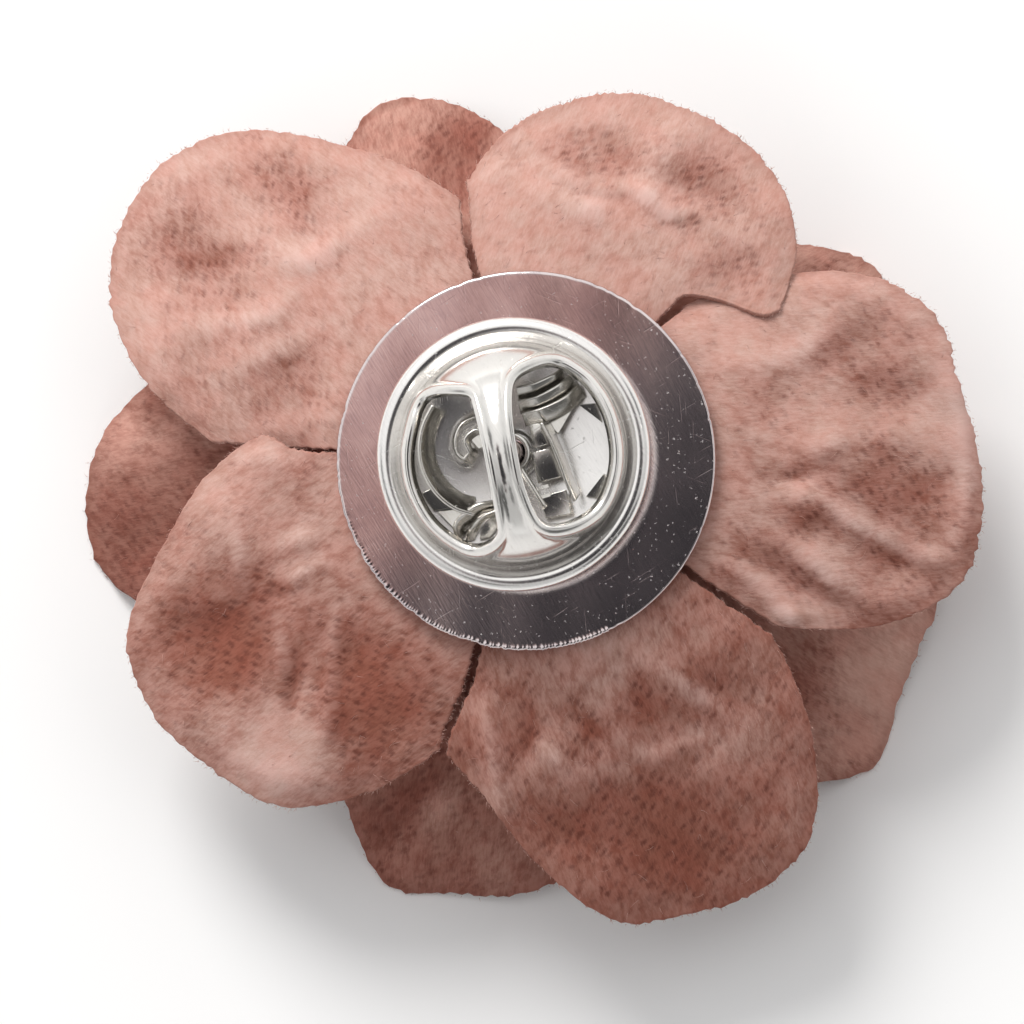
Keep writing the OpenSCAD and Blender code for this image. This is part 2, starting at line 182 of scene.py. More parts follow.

# Soft ridges and dents pressed into the outer petals, where the camera sees them from above: a line
# of points, its width and its height, all in millimetres, below zero for a dent. A ridge also carries
# painted light along it, and a dent painted shade.
RELIEF_LINES = {
    0: [
        ([(-3.6, 10.9), (-5.9, 10.2), (-7.7, 9.2), (-9.2, 8.3), (-10.7, 8.8), (-12.2, 9.3)], 0.75, 0.36),
        ([(-9.1, 8.0), (-10.5, 6.2), (-12.6, 5.7), (-14.8, 5.5)], 0.75, 0.25),
        ([(-8.7, 5.3), (-10.7, 4.5), (-13.0, 3.5)], 0.8, 0.15),
        ([(-11.4, 12.5), (-10.1, 11.5), (-8.7, 10.2)], 1.3, -0.38),
        ([(-14.2, 8.0), (-12.8, 7.6), (-11.6, 7.0)], 1.5, -0.4),
        ([(-14.5, 4.5), (-12.6, 4.6)], 0.8, -0.2),
        ([(-11.6, 2.6), (-9.2, 3.1), (-8.2, 1.6)], 1.2, -0.26),
    ],
    1: [
        ([(-1.3, 12.5), (0.9, 12.1), (2.0, 11.6), (3.2, 11.2), (4.8, 11.3), (5.3, 10.8), (6.1, 10.2),
          (7.1, 10.3), (8.3, 9.4), (10.5, 8.4)], 0.55, 0.6),
        ([(-1.6, 11.8), (2.0, 10.5), (3.4, 10.5)], 0.9, 0.3),
        ([(5.1, 11.4), (5.6, 12.5), (6.3, 13.8)], 1.0, 0.25),
        ([(1.8, 13.0), (3.2, 12.5), (4.5, 11.9)], 1.3, -0.48),
        ([(6.4, 11.0), (7.8, 11.1), (9.6, 10.7)], 1.4, -0.36),
        ([(-1.1, 12.9), (0.1, 12.4)], 0.45, -0.25),
        ([(7.3, 7.5), (9.8, 7.3)], 0.9, -0.35),
        ([(6.5, 9.3), (7.2, 8.9)], 0.5, -0.14),
    ],
    2: [
        ([(12.9, 6.0), (12.0, 4.7), (9.8, 4.0), (8.0, 3.8)], 0.9, 0.25),
        ([(9.0, 1.2), (12.0, 0.4), (13.4, 0.7), (16.9, 0.7)], 0.7, 0.28),
        ([(10.9, -1.3), (12.6, -2.0), (14.4, -3.1), (16.4, -4.0), (17.6, -4.4)], 0.6, 0.4),
        ([(10.4, -3.1), (12.0, -4.3), (13.4, -5.4), (14.9, -6.3)], 0.55, 0.4),
        ([(7.8, -4.1), (9.5, -5.0), (10.8, -6.4), (11.4, -7.0)], 0.5, 0.35),
        ([(16.4, 7.0), (17.9, 4.0), (18.5, 1.1), (18.6, -1.9), (18.2, -4.4)], 0.8, 0.5),
        ([(13.6, 5.0), (15.0, 5.1)], 0.9, -0.35),
        ([(13.9, 2.5), (15.4, 2.7), (17.0, 2.1)], 0.95, -0.5),
        ([(13.9, -0.4), (15.4, -0.4), (17.0, -1.4), (17.2, -2.9)], 1.1, -0.6),
        ([(14.2, -3.9), (15.4, -4.3), (16.4, -4.9)], 0.8, -0.42),
        ([(10.9, -2.4), (12.9, -3.4)], 0.7, -0.42),
        ([(8.7, -3.5), (10.5, -4.5), (12.0, -5.5), (13.4, -6.2)], 0.65, -0.46),
        ([(10.0, 2.5), (11.3, 1.3)], 0.9, -0.2),
        ([(9.7, -0.7), (11.1, -0.9), (11.9, -0.6)], 0.45, -0.35),
    ],
    3: [
        ([(4.1, -7.8), (6.7, -9.5), (8.3, -10.8)], 0.7, 0.4),
        ([(2.4, -10.2), (3.7, -11.4), (5.1, -12.5), (6.5, -12.0), (8.3, -11.4)], 0.55, 0.3),
        ([(-1.6, -10.2), (-1.4, -11.7), (-1.1, -13.2), (-0.8, -15.0)], 0.55, 0.4),
        ([(0.6, -11.9), (1.4, -12.7), (2.4, -14.1)], 0.55, 0.24),
        ([(2.0, -12.9), (3.5, -13.2), (5.6, -12.9)], 0.7, 0.18),
        ([(11.3, -12.5), (11.5, -15.2), (10.5, -17.1)], 0.9, 0.16),
        ([(4.4, -9.3), (5.1, -10.2), (5.4, -11.1)], 0.5, -0.45),
        ([(2.0, -9.8), (2.5, -11.1), (3.5, -11.9)], 0.5, -0.45),
        ([(0.1, -9.7), (0.3, -11.4), (0.1, -12.5)], 0.45, -0.35),
        ([(7.1, -9.0), (8.6, -10.1)], 0.6, -0.35),
        ([(0.0, -14.7), (2.0, -15.5), (2.9, -16.4)], 0.9, -0.5),
        ([(4.0, -14.4), (5.4, -15.3), (6.5, -16.6), (8.3, -16.1)], 1.6, -0.6),
    ],
    4: [
        ([(-12.9, 0.1), (-10.8, 0.1), (-8.4, 0.0)], 0.9, 0.2),
        ([(-12.4, -1.6), (-12.1, -3.2), (-11.9, -4.5), (-11.7, -5.5)], 0.55, 0.28),
        ([(-10.7, -6.3), (-10.25, -7.1), (-10.15, -8.2), (-10.1, -9.3), (-10.3, -11.5)], 0.42, 0.3),
        ([(-12.0, -5.4), (-13.2, -5.7), (-14.8, -6.0)], 0.7, 0.2),
        ([(-10.0, -5.5), (-9.3, -4.7), (-8.0, -4.2)], 0.5, 0.2),
        ([(-7.8, -6.2), (-8.0, -7.7), (-8.1, -9.3), (-8.1, -10.7), (-8.7, -12.3)], 0.42, 0.34),
        ([(-11.7, -4.1), (-9.7, -3.4), (-8.7, -3.2)], 0.6, 0.2),
        ([(-13.5, -11.5), (-10.8, -13.1), (-8.1, -13.1)], 1.3, 0.35),
        ([(-14.0, -6.8), (-12.4, -7.4), (-11.9, -8.4)], 1.2, -0.65),
        ([(-13.7, -9.0), (-11.9, -9.3)], 1.0, -0.4),
        ([(-9.6, -7.5), (-9.5, -9.4), (-9.8, -10.9)], 0.5, -0.35),
        ([(-10.8, -5.5), (-10.2, -5.6), (-9.7, -5.1)], 0.35, -0.2),
        ([(-6.9, -7.7), (-7.1, -9.3), (-6.0, -10.9), (-4.4, -10.4)], 1.4, -0.55),
        ([(-14.0, -2.6), (-15.3, -4.5)], 1.0, -0.3),
    ],
}

# How high and wide the ridges and dents stand against their rows.
RIDGE_SHARE, RIDGE_SPREAD = 0.62, 0.75
DENT_SHARE, DENT_SPREAD = 0.55, 1.25

# Spots of painted shade on a petal, below zero spots of painted light: x, y and radius in millimetres
# as the camera sees them, and how much.
PAINTED_SPOTS = {
    ("outer", 0): [(-12.8, 8.2, 2.7, 0.22), (-15.4, 10.0, 2.6, 0.3), (-9.3, 10.8, 1.9, 0.26),
                   (-10.8, 12.4, 1.9, 0.16), (-9.4, 8.4, 1.0, -0.35), (-7.1, 10.5, 0.9, -0.3),
                   (-12.6, 10.4, 1.0, -0.25)],
    ("outer", 1): [(1.4, 12.9, 1.3, 0.26), (3.4, 12.4, 1.5, 0.3), (5.2, 12.6, 1.5, 0.2),
                   (7.6, 11.6, 1.8, 0.14), (9.3, 10.6, 1.6, 0.2), (0.6, 11.6, 0.8, -0.3),
                   (2.9, 10.8, 0.7, -0.35), (6.1, 10.4, 0.7, -0.3), (2.7, 14.2, 1.2, -0.3)],
    ("outer", 2): [(17.9, 1.5, 1.8, -0.5), (11.5, -5.4, 2.0, -0.25)],
    ("outer", 3): [(3.1, -8.4, 2.4, -0.25), (9.0, -9.5, 2.2, -0.1), (-1.0, -14.3, 1.1, -0.35),
                   (1.5, -13.2, 1.2, -0.22), (3.8, -12.9, 1.3, -0.15), (7.8, -11.9, 1.5, -0.25),
                   (10.4, -12.0, 1.6, -0.15), (2.7, -11.3, 0.5, 0.2), (5.1, -10.1, 0.6, 0.15),
                   (0.2, -11.4, 0.6, 0.15)],
    ("outer", 4): [(-10.2, -12.6, 2.6, -0.4), (-6.6, -9.6, 2.0, 0.7), (-12.6, -7.4, 2.2, 0.9)],
    ("middle", 0): [(-3.0, 12.2, 1.3, 0.6), (-2.2, 13.9, 1.0, 0.35), (-7.3, 13.6, 0.9, 0.2)],
    ("middle", 2): [(15.2, -9.8, 2.4, -0.5), (11.6, -8.4, 1.1, 0.2)],
    ("middle", 3): [(-1.4, -16.5, 1.6, 0.45), (-3.4, -14.6, 1.0, -0.25), (-6.3, -14.5, 1.5, 0.45)],
    ("middle", 4): [(-16.9, -2.9, 1.6, 0.45), (-14.6, -2.2, 1.5, 0.55), (-16.9, 0.4, 1.5, -0.2),
                    (-15.6, 2.2, 1.1, 0.25)],
}

# How far a point moves in the camera's view for each millimetre that it lies lower.
LEAN = (0.0758, -0.0437)

# The way towards the light in plan, for the painted shade on slopes that face away from it, and how
# much painted shade each petal has over the rest, below zero painted light.
TOWARDS_LIGHT = (-0.42, 0.91)
PETAL_PAINTED_SHADE = {"outer": (0.15, 0.06, 0.04, 0.22, 0.15), "middle": (0.74, 0.2, -0.25, 0.1, 0.6),
               "inner": (0, 0, 0, 0, 0)}
PLAIN_PAINTED_SHADE = 0.45
SLOPE_SHADE_SHARE = 0.85

# The gap between a petal's low or high side and its neighbour, where it isn't SLIT.
CLOSED_SIDES = {("outer", 0): (SLIT, 0.0), ("outer", 4): (0.0, SLIT)}

# How much painted light a petal's spots of painted light add, and how many loose fibres it has on its
# tip, on each of its sides and lying on its back.
SPOT_LIGHT_SHARE = {"outer": 0.35, "middle": 0.8, "inner": 0.8}
FIBRES = {"outer": (330, 90, 100), "middle": (150, 20, 30), "inner": (30, 6, 0)}


# Petals

def smooth(x):
    """From 0 to 1 with soft ends, as x goes from 0 to 1."""
    c = np.clip(x, 0, 1)
    return c * c * (3 - 2 * c)


def unit(vectors):
    """The same vectors with a length of 1."""
    return vectors / np.linalg.norm(vectors, axis=-1, keepdims=True)


def through(a, b, c, d, s):
    """A smooth line through four values, at s from 0 at b to 1 at c."""
    return b + s / 2 * (c - a + s * (2 * a - 5 * b + 4 * c - d + s * (3 * (b - c) + d - a)))


def read_shares(shares, f):
    """A list of shares read smoothly at f from 0 to 1."""
    shares = np.asarray(shares, dtype=float)
    last = len(shares) - 1
    i = np.minimum(np.floor(f * last).astype(int), last - 1)
    s = f * last - i
    b, c = shares[i], shares[i + 1]
    a = np.where(i > 0, shares[np.maximum(i - 1, 0)], 2 * b - c)
    d = np.where(i + 2 <= last, shares[np.minimum(i + 2, last)], 2 * c - b)
    return through(a, b, c, d, s)


def fold_heights(rows, index, r, angle):
    """Height of all of a petal's folds at places given by radius and angle."""
    total = np.zeros_like(r)
    for petal, share, middle, length, width, turn, height in rows:
        if petal != index:
            continue
        along = r - share * FLOWER_R
        across = r * np.sin(np.radians(angle - middle))
        cos, sin = math.cos(math.radians(turn)), math.sin(math.radians(turn))
        a = along * cos + across * sin
        b = across * cos - along * sin
        total += height * RELIEF * np.exp(-(a / (length * FLOWER_R)) ** 2 - (b / (width * FLOWER_R)) ** 2)
    return total


def relief_heights(index, x, y):
    """A petal's soft ridges and dents at places seen from above: their height, and the painted light on the
    ridges and the painted shade in the dents.
    """
    found = {"ridge": np.zeros_like(x), "dent": np.zeros_like(x), "ridge_light": np.zeros_like(x),
             "hollow_shade": np.zeros_like(x)}
    power = 2.0
    for line, width, height in RELIEF_LINES.get(index, ()):
        reach = np.linalg.norm(np.diff(line, axis=0), axis=1).sum()
        line = smooth_path(line, 3 + int(3 * reach / width))
        shape, middle_shape = np.zeros_like(x), 0.0
        middle = line[len(line) // 2]
        for point, full in zip(line, 0.25 + 0.75 * np.sin(np.linspace(0, math.pi, len(line)))):
            away = ((x - point[0]) ** 2 + (y - point[1]) ** 2) / width ** 2
            away_middle = ((middle - point) ** 2).sum() / width ** 2
            if height > 0:
                shape += full * (1 + away / RIDGE_SPREAD ** 2) ** -1.5
                middle_shape += full * (1 + away_middle / RIDGE_SPREAD ** 2) ** -1.5
            else:
                shape += full * np.exp(-away / DENT_SPREAD ** 2)
                middle_shape += full * math.exp(-away_middle / DENT_SPREAD ** 2)
        shape = shape / middle_shape
        # Besides its height, a ridge paints light along it and a dent paints shade in it.
        if height > 0:
            found["ridge"] += (RIDGE_SHARE * height * shape) ** power
            found["ridge_light"] += (height / 0.6 * shape ** 2.4) ** power
        else:
            found["dent"] += (DENT_SHARE * -height * shape) ** power
            found["hollow_shade"] += (-height / 0.66 * shape) ** power
    found = {label: value ** (1 / power) for label, value in found.items()}
    return found["ridge"] - found["dent"], found["ridge_light"], found["hollow_shade"]


def waves(x, y, lengths, seed):
    """Uneven ground: a sum of sine waves of those lengths that run in seeded directions."""
    draw = np.random.default_rng(seed)
    total = np.zeros_like(x)
    for length in lengths:
        heading, phase = draw.uniform(0, math.tau, 2)
        total += np.sin(math.tau * (x * math.cos(heading) + y * math.sin(heading)) / length + phase)
    return total / math.sqrt(len(lengths))


def petal_fall(layer, reach, r):
    """How far a petal has dropped towards the front at a radius."""
    return layer["fall"] * np.maximum(0, (r - layer["flat"]) / (reach - layer["flat"])) ** layer["power"]


def petal_grid(kind, index):
    """The middle of a petal's cloth on a grid: points in millimetres, and the painted shade and painted light
    that the finish reads.
    """
    layer = LAYERS[kind]
    (root_low, root_high, low, high), lifts, edge = PETALS[kind][index]
    seed = 100 * (1 + list(PETALS).index(kind)) + index
    v = np.linspace(-1, 1, layer["columns"] + 1)
    v = np.sign(v) * (1 - (1 - np.abs(v)) ** 1.15)
    hidden = np.linspace(0, 1, layer["hidden_rows"], endpoint=False)
    shown = np.linspace(0, 1, layer["rows"] + 1)
    shown = 1 - (1 - shown) ** 1.12
    rim = FLOWER_R * read_shares(edge, (v + 1) / 2)
    ragged = waves(v * 13, v * 0, (1.9, 1.1, 0.7, 0.5, 0.36), seed + 7)
    nibbled = waves(v * 60, v * 0, (1.7, 1.0, 0.62), seed + 8)
    rim = rim + EDGE_RAGGED * ragged + EDGE_NIBBLED * nibbled
    r = np.vstack([
        PETAL_ROOT + (layer["flat"] - PETAL_ROOT) * hidden[:, None] + 0 * v[None, :],
        layer["flat"] + (rim[None, :] - layer["flat"]) * shown[:, None],
    ])
    v = np.broadcast_to(v, r.shape)
    spread = smooth((r - SPREAD_FROM) / SPREAD_WIDTH)
    side_low = root_low + (low - root_low) * spread
    side_high = root_high + (high - root_high) * spread
    low_gap, high_gap = CLOSED_SIDES.get((kind, index), (SLIT, SLIT))
    gap = np.where(v < 0, low_gap, high_gap)
    angle = side_low + (side_high - side_low) * (v + 1) / 2 - v * np.degrees(np.arcsin(gap / 2 / r))
    torn = SIDE_RAGGED * waves(r * 1.7, r * 0, (1.9, 1.1, 0.7, 0.5), seed + 9)
    angle = angle + v ** 8 * np.degrees(torn / r)
    reach = layer["reach"] or FLOWER_R * max(edge)
    x = r * np.cos(np.radians(angle))
    y = r * np.sin(np.radians(angle))
    lifted = smooth((r - DISC_R) / LIFT_WIDTH)
    folded = smooth((r - DISC_R) / FOLD_WIDTH)
    side = CROSSING_LIFT * (lifts[0] * np.maximum(0, -v) ** 3 + lifts[1] * np.maximum(0, v) ** 3)
    folds = fold_heights(FOLDS[kind], index, r, angle)
    uneven = UNEVEN_LONG * waves(x, y, (9.0, 6.6, 4.9), seed)
    uneven = uneven + UNEVEN_SHORT * waves(x, y, (3.1, 2.3, 1.7), seed + 1)
    base = layer["top"] - petal_fall(layer, reach, r)
    seen_x, seen_y = x - LEAN[0] * base, y - LEAN[1] * base
    # Painted light on the folds, painted shade in the dents and low waves; on the outer petals, along the
    # relief lines.
    relief, ridge_light, hollow_shade = np.zeros_like(x), np.clip(folds, 0, 1), np.clip(-folds - uneven, 0, 1)
    if kind == "outer":
        relief, ridge_light, hollow_shade = relief_heights(index, seen_x, seen_y)
        folds = 0.2 * folds
    # Spots of painted shade, below zero spots of painted light.
    spot_shading = np.zeros_like(x)
    for spot_x, spot_y, radius, amount in PAINTED_SPOTS.get((kind, index), ()):
        spot_shading += amount * np.exp(-((seen_x - spot_x) ** 2 + (seen_y - spot_y) ** 2) / radius ** 2)
    shape = lifted * side + folded * (folds - layer["droop"] * v ** 2 + uneven) + lifted * relief
    z = base + shape - VISIBLE_CLOTH / 2
    return dict(x=x, y=y, z=z, hollow_shade=hollow_shade, ridge=ridge_light, spot_shading=spot_shading, middle_angle=(low + high) / 2)


def grid_normals(points):
    """Unit normals of a grid of points, pointing out of the flower's back."""
    normal = unit(np.cross(np.gradient(points, axis=0), np.gradient(points, axis=1)))
    return normal * np.sign(normal[..., 2:])


def edge_distance(points):
    """Distance in millimetres from each grid point to the petal's cut edge, its root left out."""
    rows, columns = points.shape[:2]
    steps = np.linalg.norm(np.diff(points, axis=0), axis=2)
    to_tip = np.vstack([np.cumsum(steps[::-1], axis=0)[::-1], np.zeros((1, columns))])
    across = np.linalg.norm(np.diff(points, axis=1), axis=2)
    from_low = np.hstack([np.zeros((rows, 1)), np.cumsum(across, axis=1)])
    return np.minimum(to_tip, np.minimum(from_low, from_low[:, -1:] - from_low))


def new_mesh(name, points, faces, attributes, uv=None):
    """A smooth mesh object from points in millimetres, with named values on its points."""
    mesh = bpy.data.meshes.new(name)
    mesh.from_pydata((np.asarray(points) * MM).tolist(), [], faces)
    for label, values in attributes.items():
        layer = mesh.attributes.new(label, "FLOAT", "POINT")
        layer.data.foreach_set("value", np.asarray(values, dtype=np.float32))
    if uv is not None:
        corners = np.empty(len(mesh.loops), dtype=np.int32)
        mesh.loops.foreach_get("vertex_index", corners)
        layer = mesh.uv_layers.new(name="cloth")
        layer.data.foreach_set("uv", np.asarray(uv, dtype=np.float32)[corners].ravel())
    mesh.update()
    mesh.validate()
    mesh.shade_smooth()
    obj = bpy.data.objects.new(name, mesh)
    bpy.context.scene.collection.objects.link(obj)
    return obj


def grid_faces(rows, columns, start=0, flip=False):
    """Quads of a grid of rows by columns points."""
    corner = (start + np.arange(rows - 1)[:, None] * columns + np.arange(columns - 1)[None, :]).ravel()
    quads = np.stack([corner, corner + 1, corner + columns + 1, corner + columns], axis=1)
    return (quads[:, ::-1] if flip else quads).tolist()


def band(one, two):
    """Quads between two loops of as many points."""
    one, two = list(one), list(two)
    return list(zip(one, one[1:] + one[:1], two[1:] + two[:1], two))


def ring_faces(rings, count, start=0, closed=False):
    """Quads between rings of count points; without closed, both ends have a cap."""
    loops = [range(start + row * count, start + (row + 1) * count) for row in range(rings)]
    following = loops[1:] + loops[:1] if closed else loops[1:]
    faces = [face for one, two in zip(loops, following) for face in band(one, two)]
    if not closed:
        faces += [tuple(reversed(loops[0])), tuple(loops[-1])]
    return faces


def painted_slope_shade(normal, petal_shade):
    """Painted shade of the cloth: deeper where it slopes away from the light, with each petal's painted shade
    added, painted light where that is below zero.
    """
    facing_light = normal[..., 0] * TOWARDS_LIGHT[0] + normal[..., 1] * TOWARDS_LIGHT[1]
    return np.clip(PLAIN_PAINTED_SHADE + petal_shade - SLOPE_SHADE_SHARE * facing_light, 0, 1)


def fibres(kind, index, grid, middle, normal, back):
    """Loose fibres of a petal, along its cut edge and lying on its back: points, faces, root points."""
    draw = np.random.default_rng(500 + 10 * list(PETALS).index(kind) + index)
    rows, columns = grid["x"].shape
    first = LAYERS[kind]["hidden_rows"] + 6
    on_tip, on_sides, on_back = FIBRES[kind]
    tip = np.stack([np.full(on_tip, rows - 1), draw.integers(0, columns, on_tip)], axis=1)
    sides = draw.integers(first, rows, 2 * on_sides)
    sides = np.stack([sides, np.repeat((0, columns - 1), on_sides)], axis=1)
    lying = draw.integers(first, rows - 2, on_back)
    lying = np.stack([lying, draw.integers(2, columns - 2, on_back)], axis=1)
    root = np.concatenate([tip, sides, lying])
    s, c = root[:, 0], root[:, 1]
    ahead, across = (unit(np.gradient(middle, axis=axis)[s, c]) for axis in (0, 1))
    count = len(root)
    heading = draw.uniform(-0.9, 0.9, count)
    heading[on_tip:on_tip + on_sides] -= math.pi / 2
    heading[on_tip + on_sides:on_tip + 2 * on_sides] += math.pi / 2
    flat = np.arange(count) >= on_tip + 2 * on_sides
    heading[flat] = draw.uniform(-math.pi, math.pi, flat.sum())
    way = ahead * np.cos(heading)[:, None] + across * np.sin(heading)[:, None]
    way = way + normal[s, c] * np.where(flat, 0.1, draw.normal(0, 0.35, count))[:, None]
    bend = draw.normal(0, 0.45, count)[:, None] * np.cross(way, normal[s, c])
    length = np.where(flat, draw.uniform(0.2, 0.6, count), draw.uniform(0.04, 0.17, count))
    origin = np.where(flat[:, None], back[s, c], middle[s, c])
    origin = origin + np.where(flat, 0.0, draw.uniform(-0.2, 0.2, count))[:, None] * normal[s, c]
    thick = np.where(flat, 0.008, 0.012)
    one = unit(np.cross(way, (0.3, 0.5, 0.8)))
    two = unit(np.cross(way, one))
    points, steps, sides = [], (0.0, 0.35, 0.7, 1.0), 3
    for t in steps:
        spine = origin + length[:, None] * (way * t + bend * t * t)
        spine[:, 2] += 0.03 * (flat & (t > 0))
        radius = thick * (1 - 0.75 * t)
        for a in np.arange(sides) * math.tau / sides:
            points.append(spine + radius[:, None] * (one * math.cos(a) + two * math.sin(a)))
    points = np.stack(points, axis=1)
    points[..., 2] = np.maximum(points[..., 2], FLOOR)
    each = len(steps) * sides
    faces = [face for k in range(count) for face in ring_faces(len(steps), sides, start=k * each)]
    return points.reshape(-1, 3), faces, np.repeat(s * columns + c, each)


def petal_cloth(kind, index):
    """One petal: pressed cloth with a soft raw edge, its back and its front."""
    grid = petal_grid(kind, index)
    middle = np.stack([grid["x"], grid["y"], grid["z"]], axis=2)
    normal = grid_normals(middle)
    to_edge = edge_distance(middle)
    rounded = np.sqrt(np.clip(1 - (1 - np.clip(to_edge / EDGE_ROUND, 0, 1)) ** 2, 0, 1))
    thickness = VISIBLE_CLOTH * (0.5 + 0.5 * smooth(to_edge / EDGE_THIN)) * (0.3 + 0.7 * rounded)
    back = middle + normal * (thickness / 2)[..., None]
    front = middle - normal * (thickness / 2)[..., None]
    front[..., 2] = np.maximum(front[..., 2], FLOOR)
    back[..., 2] = np.maximum(back[..., 2], front[..., 2] + thickness)
    rows, columns = grid["x"].shape
    count = rows * columns
    faces = grid_faces(rows, columns) + grid_faces(rows, columns, start=count, flip=True)
    rim = [(0, c) for c in range(columns)] + [(s, columns - 1) for s in range(1, rows)]
    rim += [(rows - 1, c) for c in range(columns - 2, -1, -1)] + [(s, 0) for s in range(rows - 2, 0, -1)]
    rim = [s * columns + c for s, c in reversed(rim)]
    faces += band(rim, (k + count for k in rim))
    # The values carry painted light on ridges and pale spots, painted shade in hollows, in deep spots and on
    # slopes facing away from the light, and the frayed cut edge.
    painted_spot_light = SPOT_LIGHT_SHARE[kind] * np.clip(-grid["spot_shading"], 0, 1)
    values = {
        "hollow_shade": np.clip(grid["hollow_shade"], 0, 1),
        "ridge": np.clip(grid["ridge"] + painted_spot_light, 0, 1),
        "edge": np.exp(-to_edge / EDGE_FRAYED),
        "painted_shade": painted_slope_shade(normal, grid["spot_shading"] + PETAL_PAINTED_SHADE[kind][index]),
    }
    turn = math.radians(grid["middle_angle"] + 37)
    flat_x = grid["x"] * math.cos(turn) + grid["y"] * math.sin(turn)
    flat_y = grid["y"] * math.cos(turn) - grid["x"] * math.sin(turn)
    uv = np.tile(np.stack([flat_x.ravel(), flat_y.ravel()], axis=1), (2, 1))
    points = np.concatenate([back.reshape(-1, 3), front.reshape(-1, 3)])
    hair_points, hair_faces, roots = fibres(kind, index, grid, middle, normal, back)
    faces += [tuple(len(points) + k for k in face) for face in hair_faces]
    points = np.concatenate([points, hair_points])
    uv = np.concatenate([uv, uv[roots]])
    hair_tone = {"hollow_shade": 0.0, "ridge": 0.3, "edge": 0.0, "painted_shade": 0.45}
    values = {label: np.concatenate([np.tile(value.ravel(), 2), np.full(len(roots), hair_tone[label])])
              for label, value in values.items()}
    obj = new_mesh(f"{kind}_petal_cloth_{index + 1}", points, faces, values, uv)
    return obj, middle


# Finishes

def add(tree, kind, inputs=None, **settings):
    """A node of that kind with its settings and inputs; an input is a value or another socket."""
    node = tree.nodes.new(kind)
    for key, value in settings.items():
        setattr(node, key, value)
    for key, value in (inputs or {}).items():
        socket = node.inputs[key]
        if isinstance(value, bpy.types.NodeSocket):
            tree.links.new(value, socket)
        else:
            socket.default_value = value
    return node


def tree_of(*values):
    """The node tree of the first socket among some values."""
    return next(value.id_data for value in values if isinstance(value, bpy.types.NodeSocket))


def maths(operation, a, b, clamp=False):
    return add(tree_of(a, b), "ShaderNodeMath", {0: a, 1: b}, operation=operation, use_clamp=clamp).outputs[0]


def plus(a, b, clamp=False):
    return maths("ADD", a, b, clamp)


def minus(a, b, clamp=False):
    return maths("SUBTRACT", a, b, clamp)


def times(a, b, clamp=False):
    return maths("MULTIPLY", a, b, clamp)


def vector_maths(operation, vector, other):
    """Two vectors joined by an operation, or a vector and a number where it is SCALE."""
    inputs = {0: vector, "Scale" if operation == "SCALE" else 1: other}
    return add(tree_of(vector), "ShaderNodeVectorMath", inputs, operation=operation).outputs[0]


def mixed(factor, a, b, blend="MIX"):
    """Colour a turned into colour b by a factor."""
    return add(tree_of(factor), "ShaderNodeMix", {0: factor, 6: a, 7: b}, data_type="RGBA",
               blend_type=blend).outputs[2]


def ranged(value, low, high, to_low=0.0, to_high=1.0):
    """A value mapped smoothly from one range to another."""
    return add(tree_of(value), "ShaderNodeMapRange", {0: value, 1: low, 2: high, 3: to_low, 4: to_high},
               interpolation_type="SMOOTHSTEP").outputs[0]


def group(name, inputs, outputs):
    """An empty node group with named inputs (name, kind, value) and outputs (name, kind)."""
    tree = bpy.data.node_groups.new(name, "ShaderNodeTree")
    for label, kind, value in inputs:
        socket = tree.interface.new_socket(label, in_out="INPUT", socket_type=kind)
        socket.default_value = value
    for label, kind in outputs:
        tree.interface.new_socket(label, in_out="OUTPUT", socket_type=kind)
    return tree, tree.nodes.new("NodeGroupInput").outputs, tree.nodes.new("NodeGroupOutput").inputs


def noise(vector, scale, detail, roughness=0.5, output="Fac", distortion=0.0):
    """Smooth random values; detail is how many finer layers they have."""
    return add(tree_of(vector), "ShaderNodeTexNoise", {
        "Vector": vector, "Scale": scale, "Detail": detail, "Roughness": roughness,
        "Distortion": distortion}).outputs[output]


def turned_vector(vector, angle, stretch):
    """Texture coordinates turned about Z and stretched."""
    turn = add(tree_of(vector), "ShaderNodeVectorRotate", {"Vector": vector, "Angle": angle},
               rotation_type="Z_AXIS").outputs[0]
    return vector_maths("MULTIPLY", turn, stretch)


def uneven_cells(vector, scale, randomness=1.0):
    """The distance from the middle of uneven cells, and a chance number for each cell."""
    cells = add(tree_of(vector), "ShaderNodeTexVoronoi", {
        "Vector": vector, "Scale": scale, "Randomness": randomness}, voronoi_dimensions="2D")
    chance = add(tree_of(vector), "ShaderNodeSeparateColor", {0: cells.outputs["Color"]}).outputs[0]
    return cells.outputs["Distance"], chance


def painted(tree, label):
    """A named value of the mesh's points."""
    return add(tree, "ShaderNodeAttribute", attribute_name=label).outputs["Fac"]


